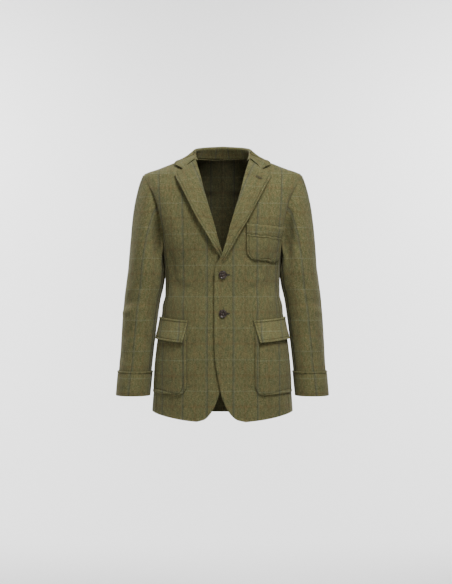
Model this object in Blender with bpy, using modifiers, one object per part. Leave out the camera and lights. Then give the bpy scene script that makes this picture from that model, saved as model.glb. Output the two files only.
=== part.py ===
"""A single-breasted tweed jacket, hollow and upright as when it is worn.

Metres, +Z up. The fronts face -Y and the wearer's left is +X. The origin lies between the shoulders,
at the height where the collar is sewn on. The body is one surface of rings, and each body panel is the
stretch of it between two seams. What lies on a panel is made from the same surface, moved outwards.
"""
import math

import bpy
import numpy as np

# Cloth
WALL = 0.0022
SEAM = 0.0003
LAY = 0.0008
TOP_OF_PANELS = 0.0165

# Body rings, from the hem to the neck
BODY_COLUMNS = ("z", "half_width", "front", "back", "squareness")
BODY = (
    (-0.716, 0.1985, 0.128, 0.123, 2.30),
    (-0.600, 0.1895, 0.128, 0.125, 2.30),
    (-0.487, 0.1785, 0.122, 0.114, 2.25),
    (-0.420, 0.1700, 0.116, 0.103, 2.25),
    (-0.340, 0.1600, 0.113, 0.098, 2.20),
    (-0.285, 0.1625, 0.115, 0.106, 2.30),
    (-0.225, 0.1735, 0.119, 0.118, 2.50),
    (-0.150, 0.1910, 0.112, 0.126, 2.80),
    (-0.090, 0.2090, 0.095, 0.122, 2.80),
    (-0.035, 0.2220, 0.064, 0.105, 2.45),
    (-0.016, 0.1760, 0.050, 0.096, 2.30),
    (0.0034, 0.1270, 0.036, 0.085, 2.20),
    (0.0175, 0.0870, 0.025, 0.074, 2.10),
    (0.0300, 0.0500, 0.015, 0.063, 2.00),
)
HEM = -0.716
HEM_FADE_TOP = -0.500
HEM_RISE_SIDE = 0.024
HEM_RISE_BACK = 0.010
ARMPIT = -0.225
SHOULDER_TIP = -0.035
FRONT_COLS = 9
SIDE_COLS = 5
BACK_COLS = 9
SIDE_SEAM_FRONT = math.radians(68)
SIDE_SEAM_BACK = math.radians(112)
SHOULDER_SEAM = math.radians(90)
BACK_SEAM = math.radians(180)

# Front edge, then the roll line up to the neck: how far each front reaches from the middle
EDGE_COLUMNS = ("z", "left", "right")
EDGE = (
    (-0.716, 0.0620, 0.0700),
    (-0.708, 0.0380, 0.0480),
    (-0.695, 0.0235, 0.0350),
    (-0.673, 0.0095, 0.0215),
    (-0.636, -0.0040, 0.0080),
    (-0.600, -0.0115, -0.0020),
    (-0.567, -0.0170, -0.0100),
    (-0.530, -0.0215, -0.0160),
    (-0.420, -0.0225, -0.0180),
    (-0.310, -0.0215, -0.0180),
    (-0.285, -0.0150, -0.0130),
    (-0.250, 0.0012, 0.0012),
    (-0.165, 0.0253, 0.0253),
    (-0.0857, 0.0491, 0.0491),
    (-0.033, 0.0625, 0.0625),
    (0.008, 0.0770, 0.0770),
    (0.0175, 0.0845, 0.0845),
)
OVERLAP_LIFT = 0.0028
OVERLAP_FULL = 0.026
OVERLAP_END = 0.075

# Armhole in front view: where the front and the back end
ARMHOLE_COLUMNS = ("z", "front", "back")
ARMHOLE = (
    (-0.225, 0.1635, 0.1635),
    (-0.200, 0.1700, 0.1725),
    (-0.181, 0.1743, 0.1775),
    (-0.150, 0.1815, 0.1855),
    (-0.118, 0.1890, 0.1935),
    (-0.085, 0.1985, 0.2025),
    (-0.060, 0.2085, 0.2110),
    (-0.035, 0.2215, 0.2215),
)

# Left sleeve rings below the sleeve head
SLEEVE_COLUMNS = ("z", "x", "y", "half_width", "half_depth")
SLEEVE = (
    (-0.646, 0.2492, -0.016, 0.0447, 0.054),
    (-0.574, 0.2428, -0.010, 0.0457, 0.057),
    (-0.487, 0.2355, 0.000, 0.0478, 0.062),
    (-0.384, 0.2247, 0.006, 0.0508, 0.068),
    (-0.340, 0.2176, 0.006, 0.0527, 0.070),
    (-0.300, 0.2137, 0.004, 0.0511, 0.071),
)
SLEEVE_HEAD_END = -0.300
SLEEVE_END = -0.646
SLEEVE_ROOT_GAP = 0.0008
# How the lines of the sleeve head leave the armhole and arrive at the first level ring: inner and outer side
HEAD_LEAVE_X = (-0.010, 0.090)
HEAD_LEAVE_Z = (-0.070, -0.190)
HEAD_FORWARD = 0.030
HEAD_ARRIVE_X = (-0.012, 0.026)
HEAD_ARRIVE_Z = (-0.090, -0.250)
SLEEVE_COLS = 24
SLEEVE_FRONT_SEAM = 10
SLEEVE_BACK_SEAM = 19
HEAD_ROWS = 8
ARM_ROWS = 8
CUFF_TOP = -0.580
CUFF_BOTTOM = -0.6485
CUFF_ROWS = 3

# Lapel: the height on the roll line, and the lapel's outer edge level with it
LAPEL_COLUMNS = ("along", "roll_z", "edge_x", "edge_z")
LAPEL = {
    "left": (
        (0.00, -0.2900, 0.0000, -0.2930),
        (0.12, -0.2620, 0.0130, -0.2640),
        (0.26, -0.2220, 0.0340, -0.2240),
        (0.47, -0.1600, 0.0740, -0.1560),
        (0.70, -0.0920, 0.1086, -0.0910),
        (0.88, -0.0330, 0.1275, -0.0565),
        (1.00, 0.0025, 0.1346, -0.0425),
    ),
    "right": (
        (0.00, -0.2620, 0.0035, -0.2720),
        (0.16, -0.2220, 0.0300, -0.2240),
        (0.40, -0.1600, 0.0710, -0.1560),
        (0.66, -0.0920, 0.1046, -0.0910),
        (0.86, -0.0330, 0.1235, -0.0560),
        (1.00, 0.0025, 0.1306, -0.0396),
    ),
}
LAPEL_ROWS = 13
LAPEL_COLS = 6
LAPEL_START = {"left": 0.0, "right": 0.08}
LAPEL_EDGE_OUT = 0.0030
LAPEL_ROLL_OUT = 0.0022

# Collar, from its front end at the gorge to the middle of the back
COLLAR_COLUMNS = ("along", "fold_x", "fold_y", "fold_z", "stand_angle",
                  "knee_angle", "knee_z", "knee_out", "edge_angle", "edge_z")
COLLAR = (
    (0.00, 0.0730, -0.0285, 0.0100, 62, 30.8, -0.0220, 0.0034, 42.5, -0.0150),
    (0.30, 0.0785, 0.0060, 0.0380, 92, 90, 0.0110, 0.0055, 90, 0.0040),
    (0.64, 0.0590, 0.0470, 0.0480, 135, 138, 0.0130, 0.0090, 138, -0.0030),
    (1.00, 0.0000, 0.0630, 0.0530, 180, 180, 0.0150, 0.0110, 180, -0.0060),
)
COLLAR_STATIONS = 11
COLLAR_KNEE = 0.72
COLLAR_EDGE_OUT = 0.0034
COLLAR_ROLL = 0.0045
STAND_GAP = 0.0012
NECK_AXIS_Y = 0.020
GORGE_FOOT_IN = 0.006
GORGE_FOOT_DOWN = 0.004
FALL_STOPS = (0.25, 0.5, COLLAR_KNEE, 0.86, 1.0)

# Pockets: heights, front edge in front view, side edge as an angle, corner radius, and how much higher
# the side end of each sits than its front end
POCKET = {"top": -0.448, "bottom": -0.6515, "side": math.radians(79), "corner": 0.028, "side_round": 0.1,
          "tilt": -0.012}
POCKET_FRONT_X = {"left": 0.0885, "right": 0.0970}
FLAP = {"top": -0.4345, "bottom": -0.4955, "side": math.radians(79.5), "tilt": 0.010}
FLAP_TOP_X = {"left": 0.0835, "right": 0.0915}
FLAP_BOTTOM_X = {"left": 0.0980, "right": 0.1045}
CHEST = {"top": -0.1800, "bottom": -0.2755, "front_x": 0.0640, "corner": 0.026, "side_round": 1.0,
         "tilt": -0.009}
CHEST_SIDE_COLUMNS = ("z", "x")
CHEST_SIDE = ((-0.278, 0.1525), (-0.225, 0.1595), (-0.178, 0.1680))
CHEST_BAND_HEIGHT = 0.034
POCKET_COLS = 10
POCKET_ROWS = 6
CORNER_TURNS = (0.0, 25.0, 50.0, 90.0)
FLAP_COLS = 8
FLAP_ROWS = 4
BAND_ROWS = 3
POCKET_OUT = LAY + WALL
FLAP_OUT = POCKET_OUT + LAY + WALL

# Buttons
BUTTON_RADIUS = 0.0112
BUTTON_THICK = 0.0042
BUTTON_RIM = 0.0022
BUTTON_DISH = 0.0010
BUTTON_EDGE = 0.0015
BUTTON_BASE = 0.0080
BUTTON_STEPS = 16
BUTTON_WELD = 1e-5
BUTTON_SHANK = 0.0040
BUTTON_SHANK_HIGH = 0.0008
BUTTONS = {"button_upper": -0.314, "button_lower": -0.420}
BUTTON_X = 0.0010

# Colours
TWEED = (0.115, 0.105, 0.042, 1.0)
TWEED_DARK = (0.090, 0.083, 0.034, 1.0)
HORN = (0.045, 0.028, 0.018, 1.0)
CLOTH_ROUGHNESS = 0.95
HORN_ROUGHNESS = 0.35
SHARP_ANGLE = math.radians(40)

LEVELS = np.array([
    HEM, -0.708, -0.695, -0.673, -0.636, -0.600, -0.567, -0.530, -0.487, -0.445, -0.405, -0.370, -0.340,
    -0.310, -0.285, -0.250, ARMPIT, -0.195, -0.165, -0.135, -0.105, -0.080, -0.060, -0.046, SHOULDER_TIP,
    -0.024, -0.010, 0.004, TOP_OF_PANELS])


def start_empty():
    """Remove what the scene holds and return the jacket's own collection."""
    for item in list(bpy.data.objects):
        bpy.data.objects.remove(item, do_unlink=True)
    collection = bpy.data.collections.new("tweed_jacket")
    bpy.context.scene.collection.children.link(collection)
    return collection


def material(name, colour, roughness):
    """A Principled material with one colour."""
    made = bpy.data.materials.new(name)
    made.use_nodes = True
    shader = made.node_tree.nodes["Principled BSDF"]
    shader.inputs["Base Color"].default_value = colour
    shader.inputs["Roughness"].default_value = roughness
    shader.inputs["Metallic"].default_value = 0.0
    return made


def column(table, columns, name):
    """One named column of a table, as an array."""
    return np.array([row[columns.index(name)] for row in table])


def smooth(xs, ys, at):
    """A monotone cubic through the points of a table, held at its ends."""
    step = np.diff(xs)
    slope = np.diff(ys) / step
    product = slope[:-1] * slope[1:]
    total = np.where(product > 0, slope[:-1] + slope[1:], 1.0)
    tangent = np.concatenate([slope[:1], np.where(product > 0, 2 * product / total, 0.0), slope[-1:]])
    at = np.clip(at, xs[0], xs[-1])
    k = np.clip(np.searchsorted(xs, at, side="right") - 1, 0, len(step) - 1)
    w = (at - xs[k]) / step[k]
    start = (1 + 2 * w) * (1 - w) ** 2 * ys[k] + w * (1 - w) ** 2 * step[k] * tangent[k]
    end = w * w * (3 - 2 * w) * ys[k + 1] + w * w * (w - 1) * step[k] * tangent[k + 1]
    return start + end


def look_up(table, columns, key, name, at):
    """The smooth value of one column at a place along another."""
    return smooth(column(table, columns, key), column(table, columns, name), at)


def body(name, z):
    """One measure of the body at a height."""
    return look_up(BODY, BODY_COLUMNS, "z", name, z)


def ease(value):
    """0 to 1 with level ends."""
    value = np.clip(value, 0.0, 1.0)
    return value * value * (3 - 2 * value)


def blend(pair, share):
    """From the first value of a pair to the second."""
    return pair[0] + (pair[1] - pair[0]) * share


def row_height(level, angle):
    """The height of a row of the cloth: the hem rises at the sides and a little at the back."""
    fade = ease((HEM_FADE_TOP - level) / (HEM_FADE_TOP - HEM))
    behind = np.where(np.cos(angle) < 0, np.cos(angle) ** 2, 0.0)
    return level + fade * (HEM_RISE_SIDE * np.sin(angle) ** 2 + HEM_RISE_BACK * behind)


def body_point(angle, level):
    """A point of the body's outer face. Angle 0 is the middle of the front and 180 degrees the back."""
    z = row_height(level, angle)
    power = 2.0 / body("squareness", z)
    cosine = np.cos(angle)
    sine = np.sin(angle)
    depth = np.where(cosine > 0, body("front", z), body("back", z))
    x = body("half_width", z) * np.sign(sine) * np.abs(sine) ** power
    y = -depth * np.sign(cosine) * np.abs(cosine) ** power
    return np.stack([x, y, z], axis=-1)


def body_patch(angle, level):
    """Points of the body's outer face, and which way it faces at each."""
    angle, level = np.broadcast_arrays(angle, level)
    small = 1e-4
    across = body_point(angle + small, level) - body_point(angle - small, level)
    up = body_point(angle, level + small) - body_point(angle, level - small)
    return body_point(angle, level), unit(np.cross(across, up))


def unit(vectors):
    """Vectors of length one."""
    return vectors / np.linalg.norm(vectors, axis=-1, keepdims=True)


def angle_at(x, z):
    """The angle at which the front half of the ring at a height reaches x."""
    share = np.clip(np.abs(x) / body("half_width", z), 0.0, 0.999)
    return np.sign(x) * np.arcsin(share ** (body("squareness", z) / 2.0))


def front_lift(x, side):
    """How far a front stands out: the left one lies over the right one near the middle."""
    if side == "right":
        return np.zeros_like(x)
    return OVERLAP_LIFT * ease((OVERLAP_END - x) / (OVERLAP_END - OVERLAP_FULL))


def grid_normals(points):
    """Which way a grid of points faces, from its neighbours: along the rows crossed with up the rows."""
    return unit(np.cross(np.gradient(points, axis=1), np.gradient(points, axis=0)))


def draw_in(points, around):
    """Move a grid's edges in by half a seam, so that neighbours stay apart."""
    moved = points.copy()
    moved[0] += unit(points[1] - points[0]) * SEAM / 2
    moved[-1] += unit(points[-2] - points[-1]) * SEAM / 2
    if not around:
        moved[:, 0] += unit(points[:, 1] - points[:, 0]) * SEAM / 2
        moved[:, -1] += unit(points[:, -2] - points[:, -1]) * SEAM / 2
    return moved


def wall(name, points, normals, out, finish, collection, mirror=False, around=False):
    """A closed cloth wall: its outer face lies out from the points, its inner face one wall thickness in."""
    outer = draw_in(points + normals * np.asarray(out)[..., None], around)
    inner = draw_in(points + normals * (np.asarray(out) - WALL)[..., None], around)
    rows, cols = points.shape[:2]
    corners = np.concatenate([outer.reshape(-1, 3), inner.reshape(-1, 3)])
    if mirror:
        corners = corners * np.array([-1.0, 1.0, 1.0])
    number = np.arange(rows * cols).reshape(rows, cols)
    if around:
        number = np.concatenate([number, number[:, :1]], axis=1)
    below = number + rows * cols
    strips = [number, below[:, ::-1], np.stack([below[0], number[0]]), np.stack([number[-1], below[-1]])]
    if not around:
        strips.append(np.stack([number[:, 0], below[:, 0]]))
        strips.append(np.stack([below[:, -1], number[:, -1]]))
    faces = [face for strip in strips for face in quads(strip)]
    if mirror:
        faces = [face[::-1] for face in faces]
    mesh = bpy.data.meshes.new(name)
    mesh.from_pydata(corners.tolist(), [], faces)
    mesh.validate()
    mesh.shade_smooth()
    mesh.set_sharp_from_angle(angle=SHARP_ANGLE)
    mesh.materials.append(finish)
    made = bpy.data.objects.new(name, mesh)
    collection.objects.link(made)
    return made


def quads(number):
    """The four-cornered faces of a grid of corner numbers."""
    ring = np.stack([number[:-1, :-1], number[:-1, 1:], number[1:, 1:], number[1:, :-1]], axis=-1)
    return ring.reshape(-1, 4).tolist()


def between(start, end, count):
    """Rows of values, each running from its start to its end."""
    share = np.linspace(0.0, 1.0, count)
    return start[:, None] + (end - start)[:, None] * share


def side_boundary(half):
    """The outer boundary of a front or back at each level: side seam, armhole, shoulder seam."""
    armhole = angle_at(look_up(ARMHOLE, ARMHOLE_COLUMNS, "z", half, LEVELS), LEVELS)
    angle = np.where(LEVELS <= ARMPIT, SIDE_SEAM_FRONT, armhole)
    angle = np.where(LEVELS >= SHOULDER_TIP, SHOULDER_SEAM, angle)
    return angle if half == "front" else math.pi - angle


def front(side, finish, collection):
    """A front: from its edge and roll line to the side seam, the armhole and the shoulder seam."""
    edge = look_up(EDGE, EDGE_COLUMNS, "z", side, LEVELS)
    angle = between(angle_at(edge, LEVELS), side_boundary("front"), FRONT_COLS)
    points, normals = body_patch(angle, LEVELS[:, None])
    out = front_lift(points[..., 0], side)
    wall("front_" + side, points, normals, out, finish, collection, mirror=side == "right")


def side_panel(side, finish, collection):
    """A side body: between the two side seams, from the hem to the armpit."""
    levels = LEVELS[LEVELS <= ARMPIT]
    angle = np.linspace(SIDE_SEAM_FRONT, SIDE_SEAM_BACK, SIDE_COLS)[None, :]
    points, normals = body_patch(angle, levels[:, None])
    out = np.zeros(points.shape[:2])
    wall("side_" + side, points, normals, out, finish, collection, mirror=side == "right")


def back(side, finish, collection):
    """A back: from the side seam, the armhole and the shoulder seam to the seam down the middle."""
    angle = between(side_boundary("back"), np.full(len(LEVELS), BACK_SEAM), BACK_COLS)
    points, normals = body_patch(angle, LEVELS[:, None])
    wall("back_" + side, points, normals, np.zeros(angle.shape), finish, collection, mirror=side == "right")


def along(points, count):
    """A path through points, with its corners spread evenly along its length."""
    length = np.concatenate([[0.0], np.cumsum(np.linalg.norm(np.diff(points, axis=0), axis=1))])
    at = np.linspace(0.0, length[-1], count)
    return np.stack([np.interp(at, length, points[:, axis]) for axis in range(3)], axis=-1)


def armhole_ring():
    """The armhole from the shoulder tip down the front, under the arm and up the back, as a closed ring."""
    inside = (LEVELS >= ARMPIT) & (LEVELS <= SHOULDER_TIP)
    down = LEVELS[inside][::-1]
    under = np.linspace(SIDE_SEAM_FRONT, SHOULDER_SEAM, SIDE_COLS)[1:]
    flat = np.full(len(under), ARMPIT)
    front_half = np.concatenate([body_point(side_boundary("front")[inside][::-1], down),
                                 body_point(under, flat)])
    back_half = np.concatenate([body_point(side_boundary("back")[inside][::-1], down),
                                body_point(math.pi - under, flat)])
    half = SLEEVE_COLS // 2 + 1
    return np.concatenate([along(front_half, half), along(back_half, half)[::-1][1:-1]])


def arm_ring(z, turn):
    """A level oval ring of the sleeve. Turn 0 is its outer side and a quarter turn its front."""
    place = {name: look_up(SLEEVE, SLEEVE_COLUMNS, "z", name, z) for name in SLEEVE_COLUMNS[1:]}
    x = place["x"] + place["half_width"] * np.cos(turn)
    y = place["y"] - place["half_depth"] * np.sin(turn)
    return np.stack([x, y, np.full_like(x, z)], axis=-1)


def sleeve_grid():
    """The whole left sleeve as rings from the cuff up to the armhole.

    Below the head the rings are level ovals. In the head each line of the cloth is a cubic, from the
    armhole, which it leaves outwards and downwards, to the first level ring.
    """
    turn = 2 * math.pi * np.arange(SLEEVE_COLS) / SLEEVE_COLS
    outer = ((1 + np.cos(turn)) / 2)[:, None]
    root = armhole_ring() + np.array([SLEEVE_ROOT_GAP, 0.0, 0.0])
    first = arm_ring(SLEEVE_HEAD_END, turn)
    forward = -HEAD_FORWARD * np.sin(turn)[:, None]
    leave = np.concatenate([blend(HEAD_LEAVE_X, outer), forward, blend(HEAD_LEAVE_Z, outer)], axis=1)
    level = np.zeros_like(outer)
    arrive = np.concatenate([blend(HEAD_ARRIVE_X, outer), level, blend(HEAD_ARRIVE_Z, outer)], axis=1)
    rings = [arm_ring(z, turn) for z in np.linspace(SLEEVE_END, SLEEVE_HEAD_END, ARM_ROWS + 1)]
    for w in np.linspace(1.0, 0.0, HEAD_ROWS + 1)[1:]:
        start = (1 + 2 * w) * (1 - w) ** 2 * root + w * (1 - w) ** 2 * leave
        rings.append(start + w * w * (3 - 2 * w) * first + w * w * (w - 1) * arrive)
    return np.stack(rings)


def closed_normals(points):
    """Outward normals of a grid whose rows are closed rings."""
    wrapped = np.concatenate([points[:, -1:], points, points[:, :1]], axis=1)
    return -grid_normals(wrapped)[:, 1:-1]


def sleeve(side, finish, collection):
    """A sleeve in two halves, the top one outside and the under one towards the body."""
    points = sleeve_grid()
    normals = closed_normals(points)
    halves = {"top_sleeve_": range(SLEEVE_FRONT_SEAM, SLEEVE_BACK_SEAM - SLEEVE_COLS - 1, -1),
              "under_sleeve_": range(SLEEVE_BACK_SEAM, SLEEVE_FRONT_SEAM - 1, -1)}
    for name, picked in halves.items():
        cols = [index % SLEEVE_COLS for index in picked]
        wall(name + side, points[:, cols], normals[:, cols], np.zeros((len(points), len(cols))),
             finish, collection, mirror=side == "right")


def cuff(side, finish, collection):
    """The turn-back band that wraps the sleeve's end."""
    turn = -2 * math.pi * np.arange(SLEEVE_COLS) / SLEEVE_COLS
    heights = np.linspace(CUFF_BOTTOM, CUFF_TOP, CUFF_ROWS + 1)
    points = np.stack([arm_ring(max(z, SLEEVE_END), turn) for z in heights])
    points[..., 2] = heights[:, None]
    wrapped = np.concatenate([points[:, -1:], points, points[:, :1]], axis=1)
    normals = grid_normals(wrapped)[:, 1:-1]
    wall("cuff_" + side, points, normals, np.full(points.shape[:2], LAY + WALL), finish, collection,
         mirror=side == "right", around=True)


def lapel(side, finish, collection):
    """A lapel: from the roll line to its outer edge, and up to the gorge, lying on its front."""
    share = np.linspace(LAPEL_START[side], 1.0, LAPEL_ROWS)
    roll_z = look_up(LAPEL[side], LAPEL_COLUMNS, "along", "roll_z", share)
    edge_x = look_up(LAPEL[side], LAPEL_COLUMNS, "along", "edge_x", share)
    edge_z = look_up(LAPEL[side], LAPEL_COLUMNS, "along", "edge_z", share)
    roll_x = look_up(EDGE, EDGE_COLUMNS, "z", side, roll_z)
    x = between(roll_x, edge_x, LAPEL_COLS)
    z = between(roll_z, edge_z, LAPEL_COLS)
    points, normals = body_patch(angle_at(x, z), z)
    rolled = np.linspace(1.0, 0.0, LAPEL_COLS) ** 2
    out = front_lift(points[..., 0], side) + LAPEL_EDGE_OUT + LAPEL_ROLL_OUT * rolled
    wall("lapel_" + side, points, normals, out, finish, collection, mirror=side == "right")


def collar_section(share):
    """One section of the collar: up the stand on the neck's side, over the fold and down the fall."""
    at = {name: float(look_up(COLLAR, COLLAR_COLUMNS, "along", name, share)) for name in COLLAR_COLUMNS[1:]}
    fold = np.array([at["fold_x"], at["fold_y"], at["fold_z"]])
    outward = unit(np.array([fold[0], fold[1] - NECK_AXIS_Y, 0.0]))
    up = np.array([0.0, 0.0, 1.0])
    foot = body_point(math.radians(at["stand_angle"]), TOP_OF_PANELS) + up * STAND_GAP
    short = float(ease(share / COLLAR[1][0]))
    foot = foot * short + (fold - outward * GORGE_FOOT_IN - up * GORGE_FOOT_DOWN) * (1 - short)
    roll = COLLAR_ROLL * (0.5 + 0.5 * short)
    inside = fold - outward * roll - up * roll
    outside = fold + outward * roll - up * roll * 0.7
    knee, knee_normal = body_patch(math.radians(at["knee_angle"]), at["knee_z"])
    edge, edge_normal = body_patch(math.radians(at["edge_angle"]), at["edge_z"])
    knee = knee + knee_normal * at["knee_out"]
    edge = edge + edge_normal * COLLAR_EDGE_OUT
    down = np.array(FALL_STOPS)
    stops = np.array([0.0, COLLAR_KNEE, 1.0])
    corners = np.stack([outside, knee, edge])
    free = np.stack([smooth(stops, corners[:, axis], down) for axis in range(3)], axis=-1)
    turn = np.array([angle_at(outside[0], outside[2]), *np.radians([at["knee_angle"], at["edge_angle"]])])
    height = np.array([outside[2], at["knee_z"], at["edge_z"]])
    laid, facing = body_patch(np.interp(down, stops, turn), np.interp(down, stops, height))
    laid = laid + facing * (COLLAR_EDGE_OUT + COLLAR_ROLL / 3 * (1 - down)[:, None])
    fall = free * short + laid * (1 - short)
    return np.concatenate([[foot, (foot + inside) / 2, inside, fold, outside], fall])


def collar(finish, collection):
    """The collar, in one piece from gorge to gorge round the back of the neck."""
    half = np.stack([collar_section(share) for share in np.linspace(0.0, 1.0, COLLAR_STATIONS)])
    other = half[:-1][::-1] * np.array([-1.0, 1.0, 1.0])
    points = np.concatenate([half, other])
    normals = grid_normals(points)
    wall("collar", points, normals, np.zeros(points.shape[:2]), finish, collection)


def rounded_rows(corner, height):
    """Heights above the bottom edge, and how far the rounded corners draw each row in."""
    turn = np.radians(CORNER_TURNS)
    low = corner * (1 - np.cos(turn))
    inset = corner * (1 - np.sin(turn))
    high = np.linspace(corner, height, POCKET_ROWS)[1:]
    return np.concatenate([low, high]), np.concatenate([inset, np.zeros(len(high))])


def tilted(start, end, level, count, tilt, inset=0.0, side_inset=0.0):
    """A patch of the body between two angles at each level, its rows drawn in by the insets at their ends.

    The tilt raises its side end over its front end.
    """
    angle = between(start + inset, end - side_inset, count)
    share = (angle - start[:, None]) / (end - start)[:, None]
    return body_patch(angle, level[:, None] + tilt * (share - 0.5))


def pocket(name, shape, start, end, side, finish, collection):
    """A patch pocket with rounded lower corners, between the angles that start and end give at a level."""
    rise, inset = rounded_rows(shape["corner"], shape["top"] - shape["bottom"])
    level = shape["bottom"] + rise
    reach = inset / body("half_width", level)
    side_reach = reach * shape["side_round"]
    points, normals = tilted(start(level), end(level), level, POCKET_COLS, shape["tilt"], reach, side_reach)
    out = front_lift(points[..., 0], side) + POCKET_OUT
    wall(name, points, normals, out, finish, collection, mirror=side == "right")


def lower_pocket(side, finish, collection):
    """A lower patch pocket, which reaches round to the side."""
    def start(level):
        return angle_at(POCKET_FRONT_X[side], level)

    def end(level):
        return np.full_like(level, POCKET["side"])

    pocket("pocket_" + side, POCKET, start, end, side, finish, collection)


def flap(side, finish, collection):
    """A slanting flap over a lower pocket's mouth."""
    level = np.linspace(FLAP["bottom"], FLAP["top"], FLAP_ROWS)
    front_x = np.linspace(FLAP_BOTTOM_X[side], FLAP_TOP_X[side], FLAP_ROWS)
    end = np.full(FLAP_ROWS, FLAP["side"])
    points, normals = tilted(angle_at(front_x, level), end, level, FLAP_COLS, FLAP["tilt"])
    out = front_lift(points[..., 0], side) + FLAP_OUT
    wall("flap_" + side, points, normals, out, finish, collection, mirror=side == "right")


def chest_pocket(finish, collection):
    """The patch pocket on the left breast, and the band across its mouth."""
    def start(level):
        return angle_at(CHEST["front_x"], level)

    def end(level):
        return angle_at(look_up(CHEST_SIDE, CHEST_SIDE_COLUMNS, "z", "x", level), level)

    pocket("pocket_chest", CHEST, start, end, "left", finish, collection)
    level = np.linspace(CHEST["top"] - CHEST_BAND_HEIGHT, CHEST["top"] + LAY, BAND_ROWS)
    points, normals = tilted(start(level), end(level), level, POCKET_COLS, CHEST["tilt"])
    out = front_lift(points[..., 0], "left") + FLAP_OUT
    wall("chest_band", points, normals, out, finish, collection)


def button(name, z, finish, collection):
    """A turned button with a raised rim, on a short thread shank."""
    low = BUTTON_SHANK_HIGH
    high = low + BUTTON_THICK
    profile = [
        (0.0, high - BUTTON_DISH),
        (BUTTON_RADIUS - BUTTON_RIM, high - BUTTON_DISH),
        (BUTTON_RADIUS - BUTTON_RIM / 2, high),
        (BUTTON_RADIUS, high - BUTTON_EDGE),
        (BUTTON_RADIUS - BUTTON_EDGE / 2, low + BUTTON_EDGE / 2),
        (BUTTON_BASE, low),
        (BUTTON_SHANK, low),
        (BUTTON_SHANK, 0.0),
        (0.0, 0.0),
    ]
    mesh = bpy.data.meshes.new(name)
    mesh.from_pydata([(r, 0.0, h) for r, h in profile], [(i, i + 1) for i in range(len(profile) - 1)], [])
    mesh.materials.append(finish)
    made = bpy.data.objects.new(name, mesh)
    turned = made.modifiers.new("turned", "SCREW")
    turned.steps = BUTTON_STEPS
    turned.render_steps = BUTTON_STEPS
    turned.use_merge_vertices = True
    turned.merge_threshold = BUTTON_WELD
    turned.use_smooth_shade = True
    seat, facing = body_patch(angle_at(np.array(BUTTON_X), z), z)
    seat = seat + facing * (OVERLAP_LIFT + SEAM)
    made.location = seat.tolist()
    made.rotation_euler = (math.radians(90), 0.0, 0.0)
    collection.objects.link(made)


def main():
    """Make every piece of the jacket."""
    collection = start_empty()
    tweed = material("tweed", TWEED, CLOTH_ROUGHNESS)
    trim = material("tweed_trim", TWEED_DARK, CLOTH_ROUGHNESS)
    horn = material("horn", HORN, HORN_ROUGHNESS)
    for side in ("left", "right"):
        front(side, tweed, collection)
        side_panel(side, tweed, collection)
        back(side, tweed, collection)
        sleeve(side, tweed, collection)
        cuff(side, trim, collection)
        lapel(side, tweed, collection)
        lower_pocket(side, trim, collection)
        flap(side, trim, collection)
    collar(tweed, collection)
    chest_pocket(trim, collection)
    for name, z in BUTTONS.items():
        button(name, z, horn, collection)


main()
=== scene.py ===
"""The looks of a tweed jacket: thin cloth shells on the form of its solids, and their finishes.

Every cloth piece is a grid of points worked out as whole arrays. The body is a stack of rounded rings,
and a body panel is the stretch of it between two seams. Metres, +Z up, the fronts face -Y.
"""
import math

import bpy
import numpy as np
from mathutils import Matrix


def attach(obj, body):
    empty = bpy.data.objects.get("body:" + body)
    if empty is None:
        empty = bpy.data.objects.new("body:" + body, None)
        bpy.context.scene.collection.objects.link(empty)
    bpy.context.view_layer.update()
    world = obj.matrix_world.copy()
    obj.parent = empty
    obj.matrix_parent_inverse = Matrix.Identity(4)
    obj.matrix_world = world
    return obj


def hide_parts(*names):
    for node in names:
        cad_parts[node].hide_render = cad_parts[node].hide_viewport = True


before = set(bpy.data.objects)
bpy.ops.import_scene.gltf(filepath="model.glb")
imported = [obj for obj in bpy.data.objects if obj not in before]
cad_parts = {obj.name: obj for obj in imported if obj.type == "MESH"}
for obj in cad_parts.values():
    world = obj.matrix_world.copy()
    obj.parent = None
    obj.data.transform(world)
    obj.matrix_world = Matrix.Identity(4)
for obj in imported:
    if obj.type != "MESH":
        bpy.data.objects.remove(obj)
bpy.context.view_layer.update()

BODY_NAME = "root"

# Cloth and seams
WALL = 0.0022
LAY = 0.0008
TOP_OF_PANELS = 0.0165
STITCH_IN = 0.0065
WIDE_STITCH_IN = 0.0110
TURN_IN_WIDTH = 0.0060
# Painted shade on the outermost row of a stitched edge
EDGE_SHADE = 1.1
# Painted shade over the whole inner face of a shell, which lies in shadow
INSIDE_SHADE = 1.25
EDGE_ROUND = 0.8
EDGE_LEAST = 0.01
EDGE_PART = 0.42

# Relief near an edge: a stitched groove and the puffed rim beside it, a rolled rim, a seam's dip and swell
GROOVE_DEEP = 0.0010
GROOVE_WIDTH = 0.0013
# Painted shade in the stitched groove
GROOVE_SHADE = 0.75
PUFF_HIGH = 0.0010
PUFF_PLACE = 0.46
PUFF_WIDTH = 0.4
ROLLED_HIGH = 0.0008
ROLLED_PLACE = 0.0036
ROLLED_WIDTH = 0.0034
SEAM_DEEP = 0.0010
SEAM_WIDTH = 0.0022
SWELL_HIGH = 0.00035
SWELL_PLACE = 0.0055
SWELL_WIDTH = 0.0032

# How far the cloth of a stitched edge is turned in
TURN_IN = {"lapel": 0.0040, "collar": 0.0015, "pocket": 0.0016, "flap": 0.0055, "chest_band": 0.0006}

# Rows and columns of the grids, without those that follow an edge
PANEL_ROWS = 110
PANEL_COLS = 46
SIDE_ROWS = 70
SIDE_COLS = 16
SLEEVE_COLS = 144
HEAD_ROWS = 56
ARM_ROWS = 80
CUFF_ROWS = 12
LAPEL_ROWS = 70
LAPEL_COLS = 30
COLLAR_STATIONS = 70
COLLAR_COLS = 44
POCKET_ROWS = 44
POCKET_COLS = 40
FLAP_ROWS = 22
BAND_ROWS = 14
ROUGH_COUNT = 24
SEAM_COUNT = 60
ARMHOLE_DOWN_COUNT = 80
ARMHOLE_UNDER_COUNT = 24

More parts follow.
